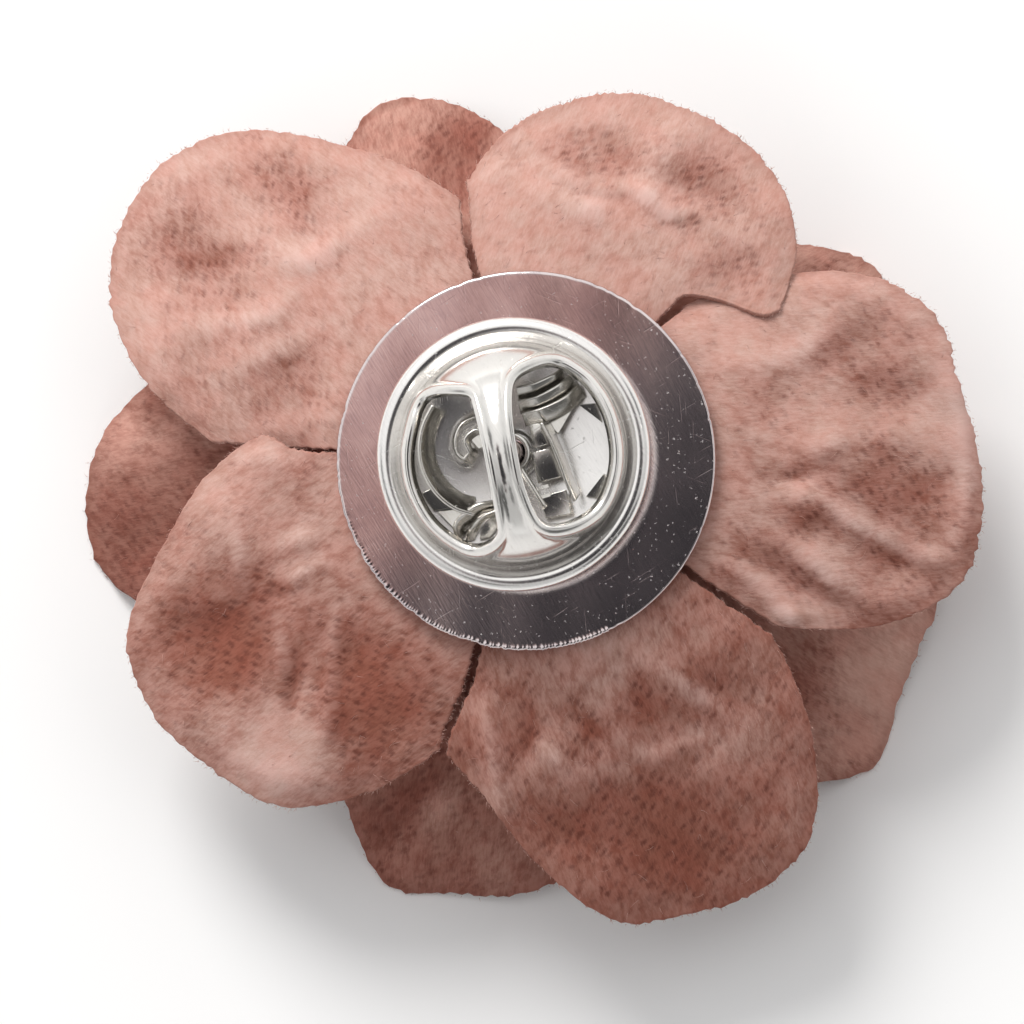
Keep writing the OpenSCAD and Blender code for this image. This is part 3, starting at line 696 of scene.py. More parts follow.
def napped_cloth_group():
    """Colour and height of short-napped cloth over a woven back, which shows as pits in the hollows; it also
    lays on the painted shade and painted light that the mesh carries.
    """
    number, colour = "NodeSocketFloat", "NodeSocketColor"
    tree, given, out = group("napped cloth", [
        # The deep tone is also the colour of painted shade, and the raised tone the colour of painted light.
        ("Deep and painted shade tone", colour, (0.3, 0.1, 0.07, 1)),
        ("Main tone", colour, (0.5, 0.25, 0.19, 1)),
        ("Pale and painted light tone", colour, (0.66, 0.42, 0.35, 1)),
        ("Pit tone", colour, (0.125, 0.037, 0.027, 1)),
        ("Threads per mm", number, 2.5),
        ("Pits", number, 1.0),
        ("Nap", number, 1.0),
    ], [("Color", colour), ("Height", number)])
    flat = add(tree, "ShaderNodeUVMap", uv_map="cloth").outputs[0]
    hollow_shade, ridge, edge, painted_shade = (painted(tree, label) for label in ("hollow_shade", "ridge", "edge", "painted_shade"))
    drift = noise(flat, 0.35, 3.0)
    patches = noise(flat, 0.75, 4.0, 0.6)
    fuzz = noise(flat, 9.0, 4.0, 0.8)
    mottle = noise(flat, 1.6, 5.0, 0.72)
    rosy = noise(flat, 0.6, 3.0, 0.6)

    # The woven back wanders a little, and the pits between its threads show most in random patches and
    # where shade is painted, and least where light is painted on ridges.
    wander = vector_maths("ADD", noise(flat, 0.9, 3.0, 0.6, "Color"), (-0.5, -0.5, -0.5))
    woven = vector_maths("ADD", flat, vector_maths("SCALE", wander, 0.5))
    woven = turned_vector(vector_maths("SCALE", woven, given["Threads per mm"]), 0.0, (1.05, 0.6, 1.0))
    away, chance = uneven_cells(woven, 1.0, 0.38)
    hairs = noise(turned_vector(flat, 0.6, (2.2, 9.0, 1.0)), 1.0, 4.0, 0.7)
    clumps = noise(turned_vector(woven, 0.6, (0.6, 1.3, 1.0)), 1.0, 4.0, 0.65)
    closeness = minus(1.0, maths("DIVIDE", away, ranged(chance, 0.0, 1.0, 0.34, 0.6)), clamp=True)
    closeness = ranged(plus(closeness, times(minus(0.5, hairs), 1.65)), 0.0, 1.1)
    bare = plus(times(hollow_shade, 0.8), ranged(patches, 0.35, 0.65, 0.1, 0.5))
    bare = plus(bare, ranged(painted_shade, 0.5, 0.95, 0.0, 0.22))
    bare = minus(bare, times(ridge, 0.5), clamp=True)
    pits = times(closeness, ranged(plus(chance, bare), 0.3, 1.1))
    pits = times(pits, ranged(bare, 0.1, 0.85, 0.12, 1.0))
    pits = times(pits, given["Pits"], clamp=True)

    # The tone is raised by hairs, clumps, drift and mottle and by painted light on ridges, and deepened by
    # clumps, patches and mottle and by painted shade in hollows and on slopes facing away from the light.
    light = plus(times(ranged(hairs, 0.32, 0.68), 0.3), times(ranged(clumps, 0.32, 0.68), 0.32))
    light = plus(light, times(ranged(drift, 0.3, 0.7), 0.14))
    light = plus(light, ranged(mottle, 0.5, 0.7, 0.0, 0.14))
    # Painted light on ridges and on pale spots.
    light = plus(light, times(ridge, 0.65), clamp=True)
    dark = times(hollow_shade, ranged(patches, 0.3, 0.7, 0.4, 0.62))
    for pattern, low, high, amount in ((clumps, 0.5, 0.28, 0.2), (patches, 0.46, 0.7, 0.16),
                                       (mottle, 0.48, 0.3, 0.14), (painted_shade, 0.3, 1.0, 0.8)):
        dark = plus(dark, ranged(pattern, low, high, 0.0, amount))
    dark = ranged(minus(dark, times(ridge, 0.4)), -0.1, 1.3, 0.0, 0.95)
    tone = mixed(light, given["Main tone"], given["Pale and painted light tone"])
    tone = mixed(dark, tone, given["Deep and painted shade tone"])
    streaks = mixed(ranged(plus(hairs, clumps), 0.82, 1.16), (0.84, 0.8, 0.79, 1), (1.09, 1.11, 1.11, 1))
    tone = mixed(ranged(painted_shade, 0.3, 0.8, 0.0, 0.7), tone, streaks, "MULTIPLY")
    tone = mixed(ranged(rosy, 0.4, 0.66, 0.0, 0.45), tone, (1.0, 0.87, 0.84, 1), "MULTIPLY")
    tone = mixed(ranged(rosy, 0.6, 0.34, 0.0, 0.45), tone, (0.96, 1.03, 1.02, 1), "MULTIPLY")
    marked = times(pits, ranged(painted_shade, 0.15, 0.85, 0.27, 0.72))
    marked = times(marked, ranged(mottle, 0.38, 0.58, 0.35, 1.15), clamp=True)
    tone = mixed(marked, tone, given["Pit tone"])
    tone = mixed(times(edge, 0.3), tone, given["Deep and painted shade tone"])
    tree.links.new(tone, out["Color"])

    height = plus(times(clumps, 0.14), times(hairs, 0.15))
    height = times(plus(height, times(fuzz, 0.14)), given["Nap"])
    tree.links.new(minus(height, times(pits, 0.14)), out["Height"])
    return tree


def finished(name, effect, values, settings, relief):
    """A material with an effect's colour and relief; the settings are the same all over it."""
    material = bpy.data.materials.new(name)
    material.use_nodes = True
    tree = material.node_tree
    shader = tree.nodes["Principled BSDF"]
    for label, value in settings.items():
        shader.inputs[label].default_value = value
    surface = add(tree, "ShaderNodeGroup", values, node_tree=effect)
    bump = add(tree, "ShaderNodeBump", {"Height": surface.outputs["Height"], "Distance": relief,
                                        "Strength": 1.0})
    tree.links.new(surface.outputs["Color"], shader.inputs["Base Color"])
    if surface.outputs.get("Roughness"):
        tree.links.new(surface.outputs["Roughness"], shader.inputs["Roughness"])
    tree.links.new(bump.outputs[0], shader.inputs["Normal"])
    return material


def cloth_material(name, cloth_group, deep_and_shade, main, ridge_light):
    """Pressed, short-napped cloth in three tones."""
    values = {"Deep and painted shade tone": (*deep_and_shade, 1), "Main tone": (*main, 1), "Pale and painted light tone": (*ridge_light, 1)}
    settings = {"Roughness": 0.92, "Specular IOR Level": 0.12, "Sheen Weight": 0.1, "Sheen Roughness": 0.45,
                "Sheen Tint": (1.0, 0.8, 0.74, 1)}
    return finished(name, cloth_group, values, settings, 0.0001)


def metal_wear_group():
    """Fine grain, scratches and specks of polished plated metal, and a painted rosy reflection where the mesh
    asks for it.
    """
    number, colour = "NodeSocketFloat", "NodeSocketColor"
    tree, given, out = group("metal wear", [
        ("Bright tone", colour, (0.75, 0.73, 0.71, 1)),
        ("Dull tone", colour, (0.5, 0.47, 0.47, 1)),
        ("Grain", number, 0.5),
        ("Scratches", number, 0.5),
        ("Specks", number, 0.5),
        ("Polish", number, 0.1),
        ("Satin", number, 0.0),
        ("Rosy reflection", number, 0.0),
    ], [("Color", colour), ("Roughness", number), ("Height", number)])
    place_mm = vector_maths("SCALE", add(tree, "ShaderNodeTexCoord").outputs["Object"], 1000.0)
    grain = noise(turned_vector(place_mm, 1.0, (1.2, 15.0, 2.0)), 1.0, 5.0)
    clouds = noise(place_mm, 0.5, 5.0)
    shaken = vector_maths("SCALE", noise(place_mm, 8.0, 3.0, 0.7, "Color"), 0.36)
    away, chance = uneven_cells(vector_maths("ADD", place_mm, shaken), 4.2)
    speck = ranged(maths("DIVIDE", away, ranged(chance, 0.55, 1.0, 0.002, 0.1)), 1.0, 0.5)
    speck = times(speck, given["Specks"], clamp=True)
    lines = [noise(turned_vector(place_mm, angle, (0.35, 7.0, 1.0)), 1.0, 3.0, distortion=0.3)
             for angle in (0.4, 1.5, 2.6)]
    one, two, three = (ranged(line, 0.66, 0.74) for line in lines)
    marks = times(maths("MAXIMUM", maths("MAXIMUM", one, two), three), given["Scratches"], clamp=True)

    dull = plus(times(ranged(clouds, 0.35, 0.75), 0.5), times(ranged(grain, 0.45, 0.72), 0.3))
    tone = mixed(dull, given["Bright tone"], given["Dull tone"])
    # A rosy tint painted where the disc mirrors rosy light: a painted reflection.
    rosy_reflection = times(painted(tree, "rosy_reflection"), ranged(clouds, 0.2, 0.6, 0.7, 1.0))
    tone = mixed(times(rosy_reflection, given["Rosy reflection"]), tone, (1.0, 0.76, 0.72, 1), "MULTIPLY")
    tone = mixed(times(speck, 0.5), tone, (0.9, 0.9, 0.9, 1))
    tree.links.new(tone, out["Color"])

    rough = plus(given["Polish"], times(clouds, 0.08))
    rough = plus(rough, times(marks, 0.15))
    rough = plus(rough, times(painted(tree, "satin"), given["Satin"]))
    tree.links.new(plus(rough, times(speck, 0.3), clamp=True), out["Roughness"])

    height = minus(times(grain, given["Grain"]), times(marks, 0.6))
    tree.links.new(plus(height, times(speck, 2.0)), out["Height"])
    return tree


def metal_material(name, wear_group, bright, dull, polish, grain, scratches, specks, satin=0.0, rosy_reflection=0.0):
    """Plated, polished metal with its wear, and as much painted rosy reflection as asked."""
    values = {"Bright tone": (*bright, 1), "Dull tone": (*dull, 1), "Polish": polish, "Grain": grain,
              "Scratches": scratches, "Specks": specks, "Satin": satin, "Rosy reflection": rosy_reflection}
    return finished(name, wear_group, values, {"Metallic": 1.0}, 0.00001)


# Metal and the button

def turned(profile, centre, steps, closed=False, wobble=None):
    """Points and faces of a turned piece; profile is (radius, height) in millimetres, from a centre."""
    angles = np.arange(steps) * math.tau / steps
    rings = []
    for r, z in profile:
        ring = np.stack([r * np.cos(angles), r * np.sin(angles), np.full(steps, z)], axis=1)
        if wobble is not None:
            ring = wobble(ring, r)
        rings.append(ring + (centre[0], centre[1], 0))
    return np.concatenate(rings), ring_faces(len(rings), steps, closed=closed)


def joined(*shells):
    """Several shells of points and faces as one."""
    points, faces, start = [], [], 0
    for shell_points, shell_faces in shells:
        points.append(np.asarray(shell_points))
        faces += [tuple(start + k for k in face) for face in shell_faces]
        start += len(shell_points)
    return np.concatenate(points), faces


def arc(centre, radius, low, high, steps):
    """Points of an arc in a plane, from one angle in degrees to another."""
    angles = np.radians(np.linspace(low, high, steps))
    return [(centre[0] + radius * math.cos(a), centre[1] + radius * math.sin(a)) for a in angles]


def on_post(points):
    """Moves points of the clutch's own frame to the post's axis and turns them with the clutch."""
    points = np.asarray(points, dtype=float)
    cos, sin = math.cos(math.radians(CLUTCH_TURN)), math.sin(math.radians(CLUTCH_TURN))
    return np.stack([points[:, 0] * cos - points[:, 1] * sin + POST[0],
                     points[:, 0] * sin + points[:, 1] * cos + POST[1], points[:, 2]], axis=1)


def strip(path, thickness, height, lean=0.0):
    """A strip of sheet on edge that follows a path, with rounded edges; lean tips it, in degrees."""
    path = np.asarray(path, dtype=float)
    tangent = unit(np.gradient(path, axis=0))
    side = unit(np.cross(tangent, (0.0, 0.0, 1.0)))
    up = np.cross(side, tangent)
    lean = np.radians(np.broadcast_to(lean, len(path)))[:, None]
    side, up = side * np.cos(lean) + up * np.sin(lean), up * np.cos(lean) - side * np.sin(lean)
    bend = thickness * 0.45
    section = []
    for low, corner in ((0, (1, 1)), (90, (-1, 1)), (180, (-1, -1)), (270, (1, -1))):
        middle = (corner[0] * (thickness / 2 - bend), corner[1] * (height / 2 - bend))
        section += arc(middle, bend, low, low + 90, 4)
    points = np.stack([path + side * a + up * b for a, b in section], axis=1).reshape(-1, 3)
    return points, ring_faces(len(path), len(section))


def smooth_path(points, steps):
    """A smooth curve through a few points."""
    points = np.asarray(points, dtype=float)
    f = np.linspace(0, 1, steps)
    return np.stack([read_shares(points[:, axis], f) for axis in range(points.shape[1])], axis=1)


# The outlines of the left and the right window in the wings, in millimetres from the post.
WINDOWS = (
    [(-2.7, 3.05), (-1.85, 2.9), (-1.08, 2.6), (-0.93, 2.0), (-0.87, 0.6), (-0.9, -1.1), (-1.02, -2.9),
     (-1.3, -3.42), (-1.9, -3.62), (-2.55, -3.52), (-3.35, -2.85), (-4.0, -1.85), (-4.33, -0.5),
     (-4.22, 0.8), (-3.68, 2.15), (-3.25, 2.85)],
    [(0.8, 2.75), (1.5, 3.22), (2.6, 3.3), (3.5, 2.57), (4.0, 1.7), (4.28, 0.66), (4.3, -0.53), (4.04, -1.61),
     (3.42, -2.69), (2.6, -3.3), (1.5, -3.52), (0.7, -3.2), (0.38, -1.8), (0.38, -0.2), (0.5, 1.5)],
)


def window_outline(window):
    """A window's outline in the wings, smooth, evenly spaced and running round to the left."""
    loop = np.array(window)
    count = len(loop)
    at = np.arange(count * 8) / 8
    i = at.astype(int)
    curve = through(*(loop[(i + shift) % count] for shift in (-1, 0, 1, 2)), (at - i)[:, None])
    area = (curve[:, 0] * np.roll(curve[:, 1], -1) - curve[:, 1] * np.roll(curve[:, 0], -1)).sum()
    return even_loop(curve if area > 0 else curve[::-1], 120)


def even_loop(points, count):
    """A closed line with evenly spaced points."""
    closed = np.vstack([points, points[:1]])
    lengths = np.concatenate([[0], np.cumsum(np.linalg.norm(np.diff(closed, axis=0), axis=1))])
    at = np.linspace(0, lengths[-1], count, endpoint=False)
    return np.stack([np.interp(at, lengths, closed[:, axis]) for axis in range(2)], axis=1)


def loop_normals(loop):
    """Outward unit normals of a closed line that runs round to the left."""
    ahead = np.roll(loop, -1, axis=0) - np.roll(loop, 1, axis=0)
    return unit(np.stack([ahead[:, 1], -ahead[:, 0]], axis=1))


def distance_to_loop(points, loop):
    """Each point's distance to a closed line, below zero inside it."""
    a, b = loop, np.roll(loop, -1, axis=0)
    best = np.full(len(points), 1e9)
    inside = np.zeros(len(points), dtype=bool)
    for start, stop in zip(a, b):
        step = stop - start
        f = np.clip(((points - start) @ step) / (step @ step), 0, 1)
        best = np.minimum(best, np.linalg.norm(points - start - f[:, None] * step, axis=1))
        crosses = (start[1] > points[:, 1]) != (stop[1] > points[:, 1])
        if abs(step[1]) > 1e-12:
            x = start[0] + (points[:, 1] - start[1]) / step[1] * step[0]
            inside ^= crosses & (points[:, 0] < x)
    return np.where(inside, -best, best)


def rolled_edge(distance):
    """How far the rolled edge of a window stands over the dome, at that distance from the opening."""
    share = np.clip(np.abs(distance - 0.17) / 0.36, 0, 1)
    return 0.2 * 0.5 * (1 + np.cos(math.pi * share))


def wings():
    """The clutch's pressed dome: two windows with rolled edges, and the bridge between them."""
    windows = [window_outline(window) for window in WINDOWS]
    ball_r = (WING_R ** 2 + WING_RISE ** 2) / (2 * WING_RISE)
    ball_z = WING_Z + WING_RISE - ball_r
    flat, edges = [], []

    def add_loop(loop):
        start = len(flat)
        flat.extend(loop.tolist())
        edges.extend((start + k, start + (k + 1) % len(loop)) for k in range(len(loop)))
        return range(start, start + len(loop))

    def off_windows(points):
        """Each point's distance to the nearest window, below zero inside one."""
        return np.minimum(*(distance_to_loop(points, loop) for loop in windows))

    rims = [add_loop(loop) for loop in windows]
    border = add_loop(np.array(arc((0, 0), WING_R, 0, 360, DOME_STEPS + 1)[:-1]))
    spread = []
    for loop in windows:
        for step in (0.05, 0.11, 0.18, 0.26, 0.34, 0.43):
            ring = loop + step * loop_normals(loop)
            spread.append(ring[np.linalg.norm(ring, axis=1) < WING_R - DOME_BORDER - 0.01])
    for turn in np.linspace(0, math.asin(WING_R / ball_r), 60)[:-1]:
        r = ball_r * math.sin(turn)
        near_rim = r > WING_R - DOME_BORDER
        count = DOME_STEPS if near_rim else max(1, int(math.tau * r / 0.13))
        angles = np.arange(count) * math.tau / count + (0.0 if near_rim else 2.4 * turn)
        ring = np.stack([r * np.cos(angles), r * np.sin(angles)], axis=1)
        spread.append(ring[off_windows(ring) > (0.07 if near_rim else 0.5)])
    spread = np.concatenate(spread)
    flat.extend(spread[np.linalg.norm(spread, axis=1) < WING_R - 0.02].tolist())
    found = delaunay_2d_cdt([Vector(point) for point in flat], edges, [], 0, 1e-7)
    flat = np.array([tuple(point) for point in found[0]])
    place_of = {old: new for new, olds in enumerate(found[3]) for old in olds}
    rims = [[place_of[k] for k in rim] for rim in rims]
    border = [place_of[k] for k in reversed(border)]
    triangles = np.array([face for face in found[2] if len(face) == 3])
    middles = flat[triangles].mean(axis=1)
    triangles = triangles[(off_windows(middles) > 0) & (np.linalg.norm(middles, axis=1) < WING_R)]
    r = np.linalg.norm(flat, axis=1)
    out = np.column_stack([flat, np.sqrt(np.maximum(ball_r ** 2 - r ** 2, 0))]) / ball_r
    centre = np.array([0, 0, ball_z])
    rise = rolled_edge(np.maximum(off_windows(flat), 0)) * smooth((WING_R - r) / 0.2)
    back = out * ball_r + centre + out * rise[:, None]
    points = [back, out * (ball_r - WING_SHEET) + centre]
    count = len(flat)
    faces = [tuple(face) for face in triangles]
    faces += [tuple(count + k for k in reversed(face)) for face in triangles]
    start = 2 * count
    for rim, loop in zip(rims, windows):
        rings = [list(rim)]
        normal = np.column_stack([loop_normals(loop), np.zeros(len(loop))])
        for inward, drop in ((0.05, 0.02), (0.07, 0.1), (0.05, 0.2), (0.0, 0.27)):
            points.append(back[rim] - normal * inward - out[rim] * drop)
            rings.append(range(start, start + len(rim)))
            start += len(rim)
        rings.append([count + k for k in rim])
        for one, two in zip(rings, rings[1:]):
            faces += band(one, two)
    faces += band(border, (count + k for k in border))
    return on_post(np.concatenate(points)), faces


def satin_floor(points):
    """How satin the clutch's base is: its floor, but not its polished rim."""
    away = np.hypot(points[:, 0] - POST[0], points[:, 1] - POST[1])
    return smooth((4.85 - away) / 0.15)


def painted_rosy_reflection(points):
    """How much painted rosy reflection the disc carries: most at its left and top, least at its lower right.
    """
    away = np.hypot(points[:, 0], points[:, 1])
    plain = np.maximum(smooth(points[:, 2] / 0.05), smooth((away - DISC_R + 0.2) / 0.1))
    return smooth((points[:, 1] - points[:, 0] + 4.5) / 9) * (1 - plain)


def clutch_base():
    """The clutch's base: bore, dished floor, groove and rolled rim."""
    low, top = BASE_LOW, BASE_TOP
    rim = (CLUTCH_R - RIM_R, LAPEL_GAP + RIM_R)
    profile = [(BORE_R, low - 0.02), (BORE_R, top + 0.42)]
    profile += [(BORE_R + 0.04, top + 0.46), (BORE_R + 0.24, top + 0.46)]
    profile += arc((BORE_R + 0.24, top + 0.4), 0.06, 80, 10, 4)
    profile += [(BORE_R + 0.3, top), (BORE_R + 0.34, top - 0.17)]
    profile += [(r, top - 0.21 + FLOOR_RISE * (r - 1)) for r in np.linspace(1.1, 4.25, 10)]
    profile += [(4.4, top + 0.11), (4.6, top + 0.07), (4.76, top + 0.09), (4.88, top + 0.16)]
    profile += [(5.0, top + 0.28)] + arc(rim, RIM_R, 126, -115, 44) + [(rim[0] - 0.35, low + 0.02)]
    profile += [(4.5, low), (3.0, low - 0.02), (1.2, low - 0.07), (BORE_R, low - 0.07)]
    points, faces = turned(profile, (0, 0), 256, closed=True)
    return on_post(points), faces


def plate(corners, z, slope, crown=0.0):
    """A plate with those corners and softly bent edges; slope is its rise along x and y."""
    outline = even_loop(np.array(corners), 60)
    following = np.roll(outline, -1, axis=0)
    if (outline[:, 0] * following[:, 1] - outline[:, 1] * following[:, 0]).sum() < 0:
        outline = outline[::-1]
    middle = outline.mean(axis=0)
    points = []
    rings = [(1, -PLATE_THICK), (1, -0.03)] + [(scale, 0) for scale in (0.96, 0.92, 0.7, 0.45, 0.2)]
    for scale, drop in rings:
        ring = (outline - middle) * scale
        height = z + drop + ring @ np.array(slope) + crown * (ring ** 2).sum(axis=1)
        points.append(np.column_stack([ring + middle, height]))
    return np.concatenate(points), ring_faces(len(rings), len(outline))


def spring():
    """The grip inside the clutch: two jaws on the post, their bows, a curl and folded strips."""
    z = BASE_TOP + 1.7 * SHEET + SPRING_H / 2
    jaw_r = BORE_R + STRIP / 2
    to_light, to_dark = (0.05, -0.07), (-0.076, 0.097)
    parts = []
    for turn in (0, 180):
        jaw = [(x, y, z) for x, y in arc((0, 0), jaw_r, 100 + turn, 260 + turn, 40)]
        parts.append(strip(jaw, STRIP, SPRING_H))
        arm = np.radians(110 + turn)
        reach = np.linspace(jaw_r, BOW_R, 16)
        arm = np.stack([reach * np.cos(arm), reach * np.sin(arm), reach * 0 + z - 0.2], axis=1)
        parts.append(strip(arm, STRIP, SPRING_H - 0.4))

    # Strips on edge: their path, its points, thickness, height, and lean at both ends.
    left_bow = [(-2.6, 2.5, z - 0.1), (-3.1, 1.85, z - 0.1), (-3.4, 1.15, z - 0.1), (-3.5, 0.4, z - 0.1),
                (-3.38, -0.3, z - 0.1), (-3.08, -0.95, z - 0.15), (-2.6, -1.5, z - 0.3),
                (-2.0, -1.85, z - 0.45)]
    curl = [(-0.53, 1.84, z - 0.1), (-1.26, 1.87, z - 0.1), (-1.88, 1.63, z - 0.05), (-2.25, 1.06, z),
            (-2.28, 0.41, z), (-1.95, 0.05, z), (-1.58, 0.34, z + 0.05), (-1.64, 0.84, z + 0.1),
            (-1.26, 1.09, z + 0.1), (-0.9, 1.05, z + 0.1)]
    high_fold = [(-2.75, -2.85, 3.0), (-2.7, -2.5, 3.35), (-2.31, -2.21, 3.6), (-1.77, -1.99, 3.65),
                 (-1.1, -1.97, 3.5)]
    low_fold = [(-2.5, -3.1, 2.95), (-2.26, -2.79, 3.25), (-1.77, -2.41, 3.45), (-1.08, -2.23, 3.45)]
    leaves = [[(0.77, 2.37, 3.9), (1.51, 2.37, 3.8), (2.3, 2.55, 3.5), (2.75, 2.75, 3.15)],
              [(0.72, 1.81, 3.8), (1.54, 1.8, 3.8), (2.5, 2.09, 3.55), (3.1, 2.45, 3.1)],
              [(0.79, 1.27, 3.7), (1.66, 1.29, 3.7), (2.7, 1.56, 3.45), (3.35, 2.0, 3.0)]]
    right_edge = [(1.62, 0.97, z), (1.85, 0.1, z), (2.02, -0.83, z - 0.1), (2.13, -1.68, z - 0.2),
                  (2.27, -2.37, z - 0.4)]
    for path, steps, thickness, height, *leans in (
            (left_bow, 72, 0.18, SPRING_H, -16, -30), (curl, 110, 0.16, SPRING_H * 0.7, 16, 16),
            (high_fold, 48, 0.2, 0.8, 50, 20), (low_fold, 48, 0.16, 0.5, 35, 5),
            *((leaf, 48, 0.14, 0.72, 52, 52) for leaf in leaves), (right_edge, 48, 0.15, 1.1, -14, -14)):
        parts.append(strip(smooth_path(path, steps), thickness, height, lean=np.linspace(*leans, steps)))

    # Plates: their corners, height, slope and crown.
    for row in (
            ([(-1.55, 0.9), (-1.15, 1.1), (-0.85, 0.9), (-0.85, 0.5), (-1.3, 0.45)], z + 0.1, to_light),
            ([(-4.1, -0.8), (-3.7, -0.7), (-2.9, -1.7), (-3.75, -1.63)], 2.95, to_dark),
            ([(-3.6, -1.7), (-2.59, -1.75), (-2.4, -2.69), (-2.9, -2.8)], 3.0, to_light, 0.05),
            ([(-2.1, -3.2), (-1.97, -2.75), (-1.47, -2.37), (-1.05, -2.29), (-1.2, -2.83), (-1.66, -3.2)],
             3.05, (-0.12, 0.06), -0.2),
            ([(1.54, 0.97), (2.33, 1.12), (3.3, 1.9), (2.95, 1.4), (2.03, 0.38)], 3.15, to_light),
            ([(3.1, 1.45), (3.8, 1.35), (3.92, 0.5)], 2.85, to_dark),
            ([(3.55, -1.6), (3.68, -1.9), (3.1, -2.6), (2.6, -2.4)], 2.9, to_dark),
            ([(0.95, 1.05), (1.6, 0.95), (1.55, 0.05), (0.95, 0.0)], z - 0.1, (-0.02, 0.04), -0.25),
            ([(0.8, -0.15), (1.66, -0.1), (1.9, -1.4), (0.8, -1.45)], z - 0.25, (-0.06, 0.1), -0.12),
            ([(0.7, -2.0), (1.9, -1.95), (1.9, -3.0), (0.8, -2.95)], z - 0.6, (-0.02, 0.07), 0.1),
            *(([(0.68, y), (1.25, y + 0.04), (1.25, y - 0.12), (0.68, y - 0.16)], z + 0.05, to_light)
              for y in (-1.63, -2.0))):
        parts.append(plate(*row))
    points, faces = joined(*parts)
    return on_post(points), faces


def disc():
    """The backing disc with its nicked bevelled rim, and the post on its own foot of solder."""
    draw = np.random.default_rng(SEED + 3)
    steps = 1320
    around = np.arange(steps) * 360 / steps
    nicks, burrs = np.zeros(steps), np.zeros(steps)

    def bump_at(angle, width):
        return np.exp(-(((around - angle + 180) % 360 - 180) / (width / 2)) ** 2)

    for middle, spread, count in ((215, 22, 34), (262, 18, 30), (140, 30, 10), (15, 40, 10), (60, 30, 6)):
        for angle in draw.normal(middle, spread, count):
            width, depth = draw.uniform(1, 2.6), draw.uniform(0.01, 0.035)
            nicks -= depth * bump_at(angle, width)
    for angle in np.arange(188, 297, 0.95) + draw.normal(0, 0.25, 115):
        width, depth = draw.uniform(0.35, 0.6), draw.uniform(0.004, 0.04) * smooth((angle - 186) / 45)
        burrs += depth * bump_at(angle, width)

    def wobble(ring, r):
        share, near = smooth((r - DISC_R + 0.5) / 0.5), smooth((r - DISC_R + 0.2) / 0.14)
        ring[:, :2] *= (1 + (share * nicks + near * burrs) / max(r, 1))[:, None]
        if ring[0, 2] > -0.3:
            sag = -0.0012 * r * r
            wave = 0.003 * waves(ring[:, 0], ring[:, 1], (7, 4.4, 2.9), SEED + 5)
            ring[:, 2] += sag + wave + near * burrs
        return ring

    # The profile's points as distances in from the rim and heights.
    rim = ((0.3, 0), (0.2, 0), (0.14, 0), (0.1, 0), (0.07, -0.012), (0.035, -0.04), (0.01, -0.09), (0, -0.15),
           (0, -0.36), (0.04, -0.45), (0.12, -DISC_THICK))
    profile = [(r, 0.0) for r in np.linspace(0.05, DISC_R - 0.4, 11)]
    profile += [(DISC_R - inward, z) for inward, z in rim] + [(0.05, -DISC_THICK)]
    plate_shell = turned(profile, (0, 0), steps, wobble=wobble)
    groove, neck = POST_R - 0.07, POST_TOP - POST_POINT
    post = [(1.0, -0.1), (0.98, 0.0), (0.8, 0.05), (0.66, 0.14), (POST_R, 0.34), (POST_R, neck - 0.5),
            (groove, neck - 0.42), (groove, neck - 0.2), (POST_R, neck - 0.12), (POST_R, neck),
            (POST_R * 0.82, POST_TOP - POST_POINT * 0.62), (POST_R * 0.5, POST_TOP - POST_POINT * 0.24),
            (POST_R * 0.22, POST_TOP - 0.04), (0.03, POST_TOP)]
    return joined(plate_shell, turned(post, POST, 64))


def button():
    """The cloth-covered button on the flower's front: crowned, with small tucks round its edge."""
    low, high = (np.array(corner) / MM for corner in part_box("centre_button"))
    radius, top = (high[0] - low[0]) / 2 - 0.06, high[2]
    angles = np.linspace(0, math.tau, 240, endpoint=False)
    rows = [(radius * share, top - drop) for share, drop in (
        (0.02, 0.06), (0.75, 0.06), (0.93, 0.1), (0.985, 0.22), (1, 0.45), (0.99, 0.75))]
    crown = top - 0.8 - low[2] - 0.05
    rows += [(radius * math.cos(a), top - 0.8 - crown * math.sin(a)) for a in np.linspace(0.08, 1.55, 46)]
    r, z = (np.array(values)[:, None] + 0 * angles[None, :] for values in zip(*rows))
    tucks = waves(angles * 9 + 0 * r, r, (1.0, 0.71, 0.52), SEED + 11)
    r = r * (1 + 0.006 * tucks * smooth((r / radius - 0.6) / 0.4))
    x, y = r * np.cos(angles), r * np.sin(angles)
    z = z + 0.02 * waves(x, y, (1.9, 1.3, 0.8), SEED + 12) * smooth((top - 0.5 - z) / 0.4)
    points = np.stack([x, y, z], axis=2).reshape(-1, 3)
    faces = [face[:1] + face[:0:-1] for face in ring_faces(len(rows), len(angles))]
    zero = np.zeros(len(points))
    # An even painted shade over the button.
    values = {"hollow_shade": zero + 0.15, "ridge": zero, "edge": zero, "painted_shade": zero + 0.3}
    return new_mesh("covered_button", points, faces, values, np.stack([x.ravel(), y.ravel()], axis=1))


def metal_piece(name, shell, material, body):
    """A metal piece from its points and faces, on the body that it moves with."""
    points, faces = shell
    piece = new_mesh(name, points, faces, {"satin": satin_floor(points), "rosy_reflection": painted_rosy_reflection(points)})
    piece.data.materials.append(material)
    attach(piece, body)
    return piece


# Pieces

cloth_group = napped_cloth_group()
wear_group = metal_wear_group()
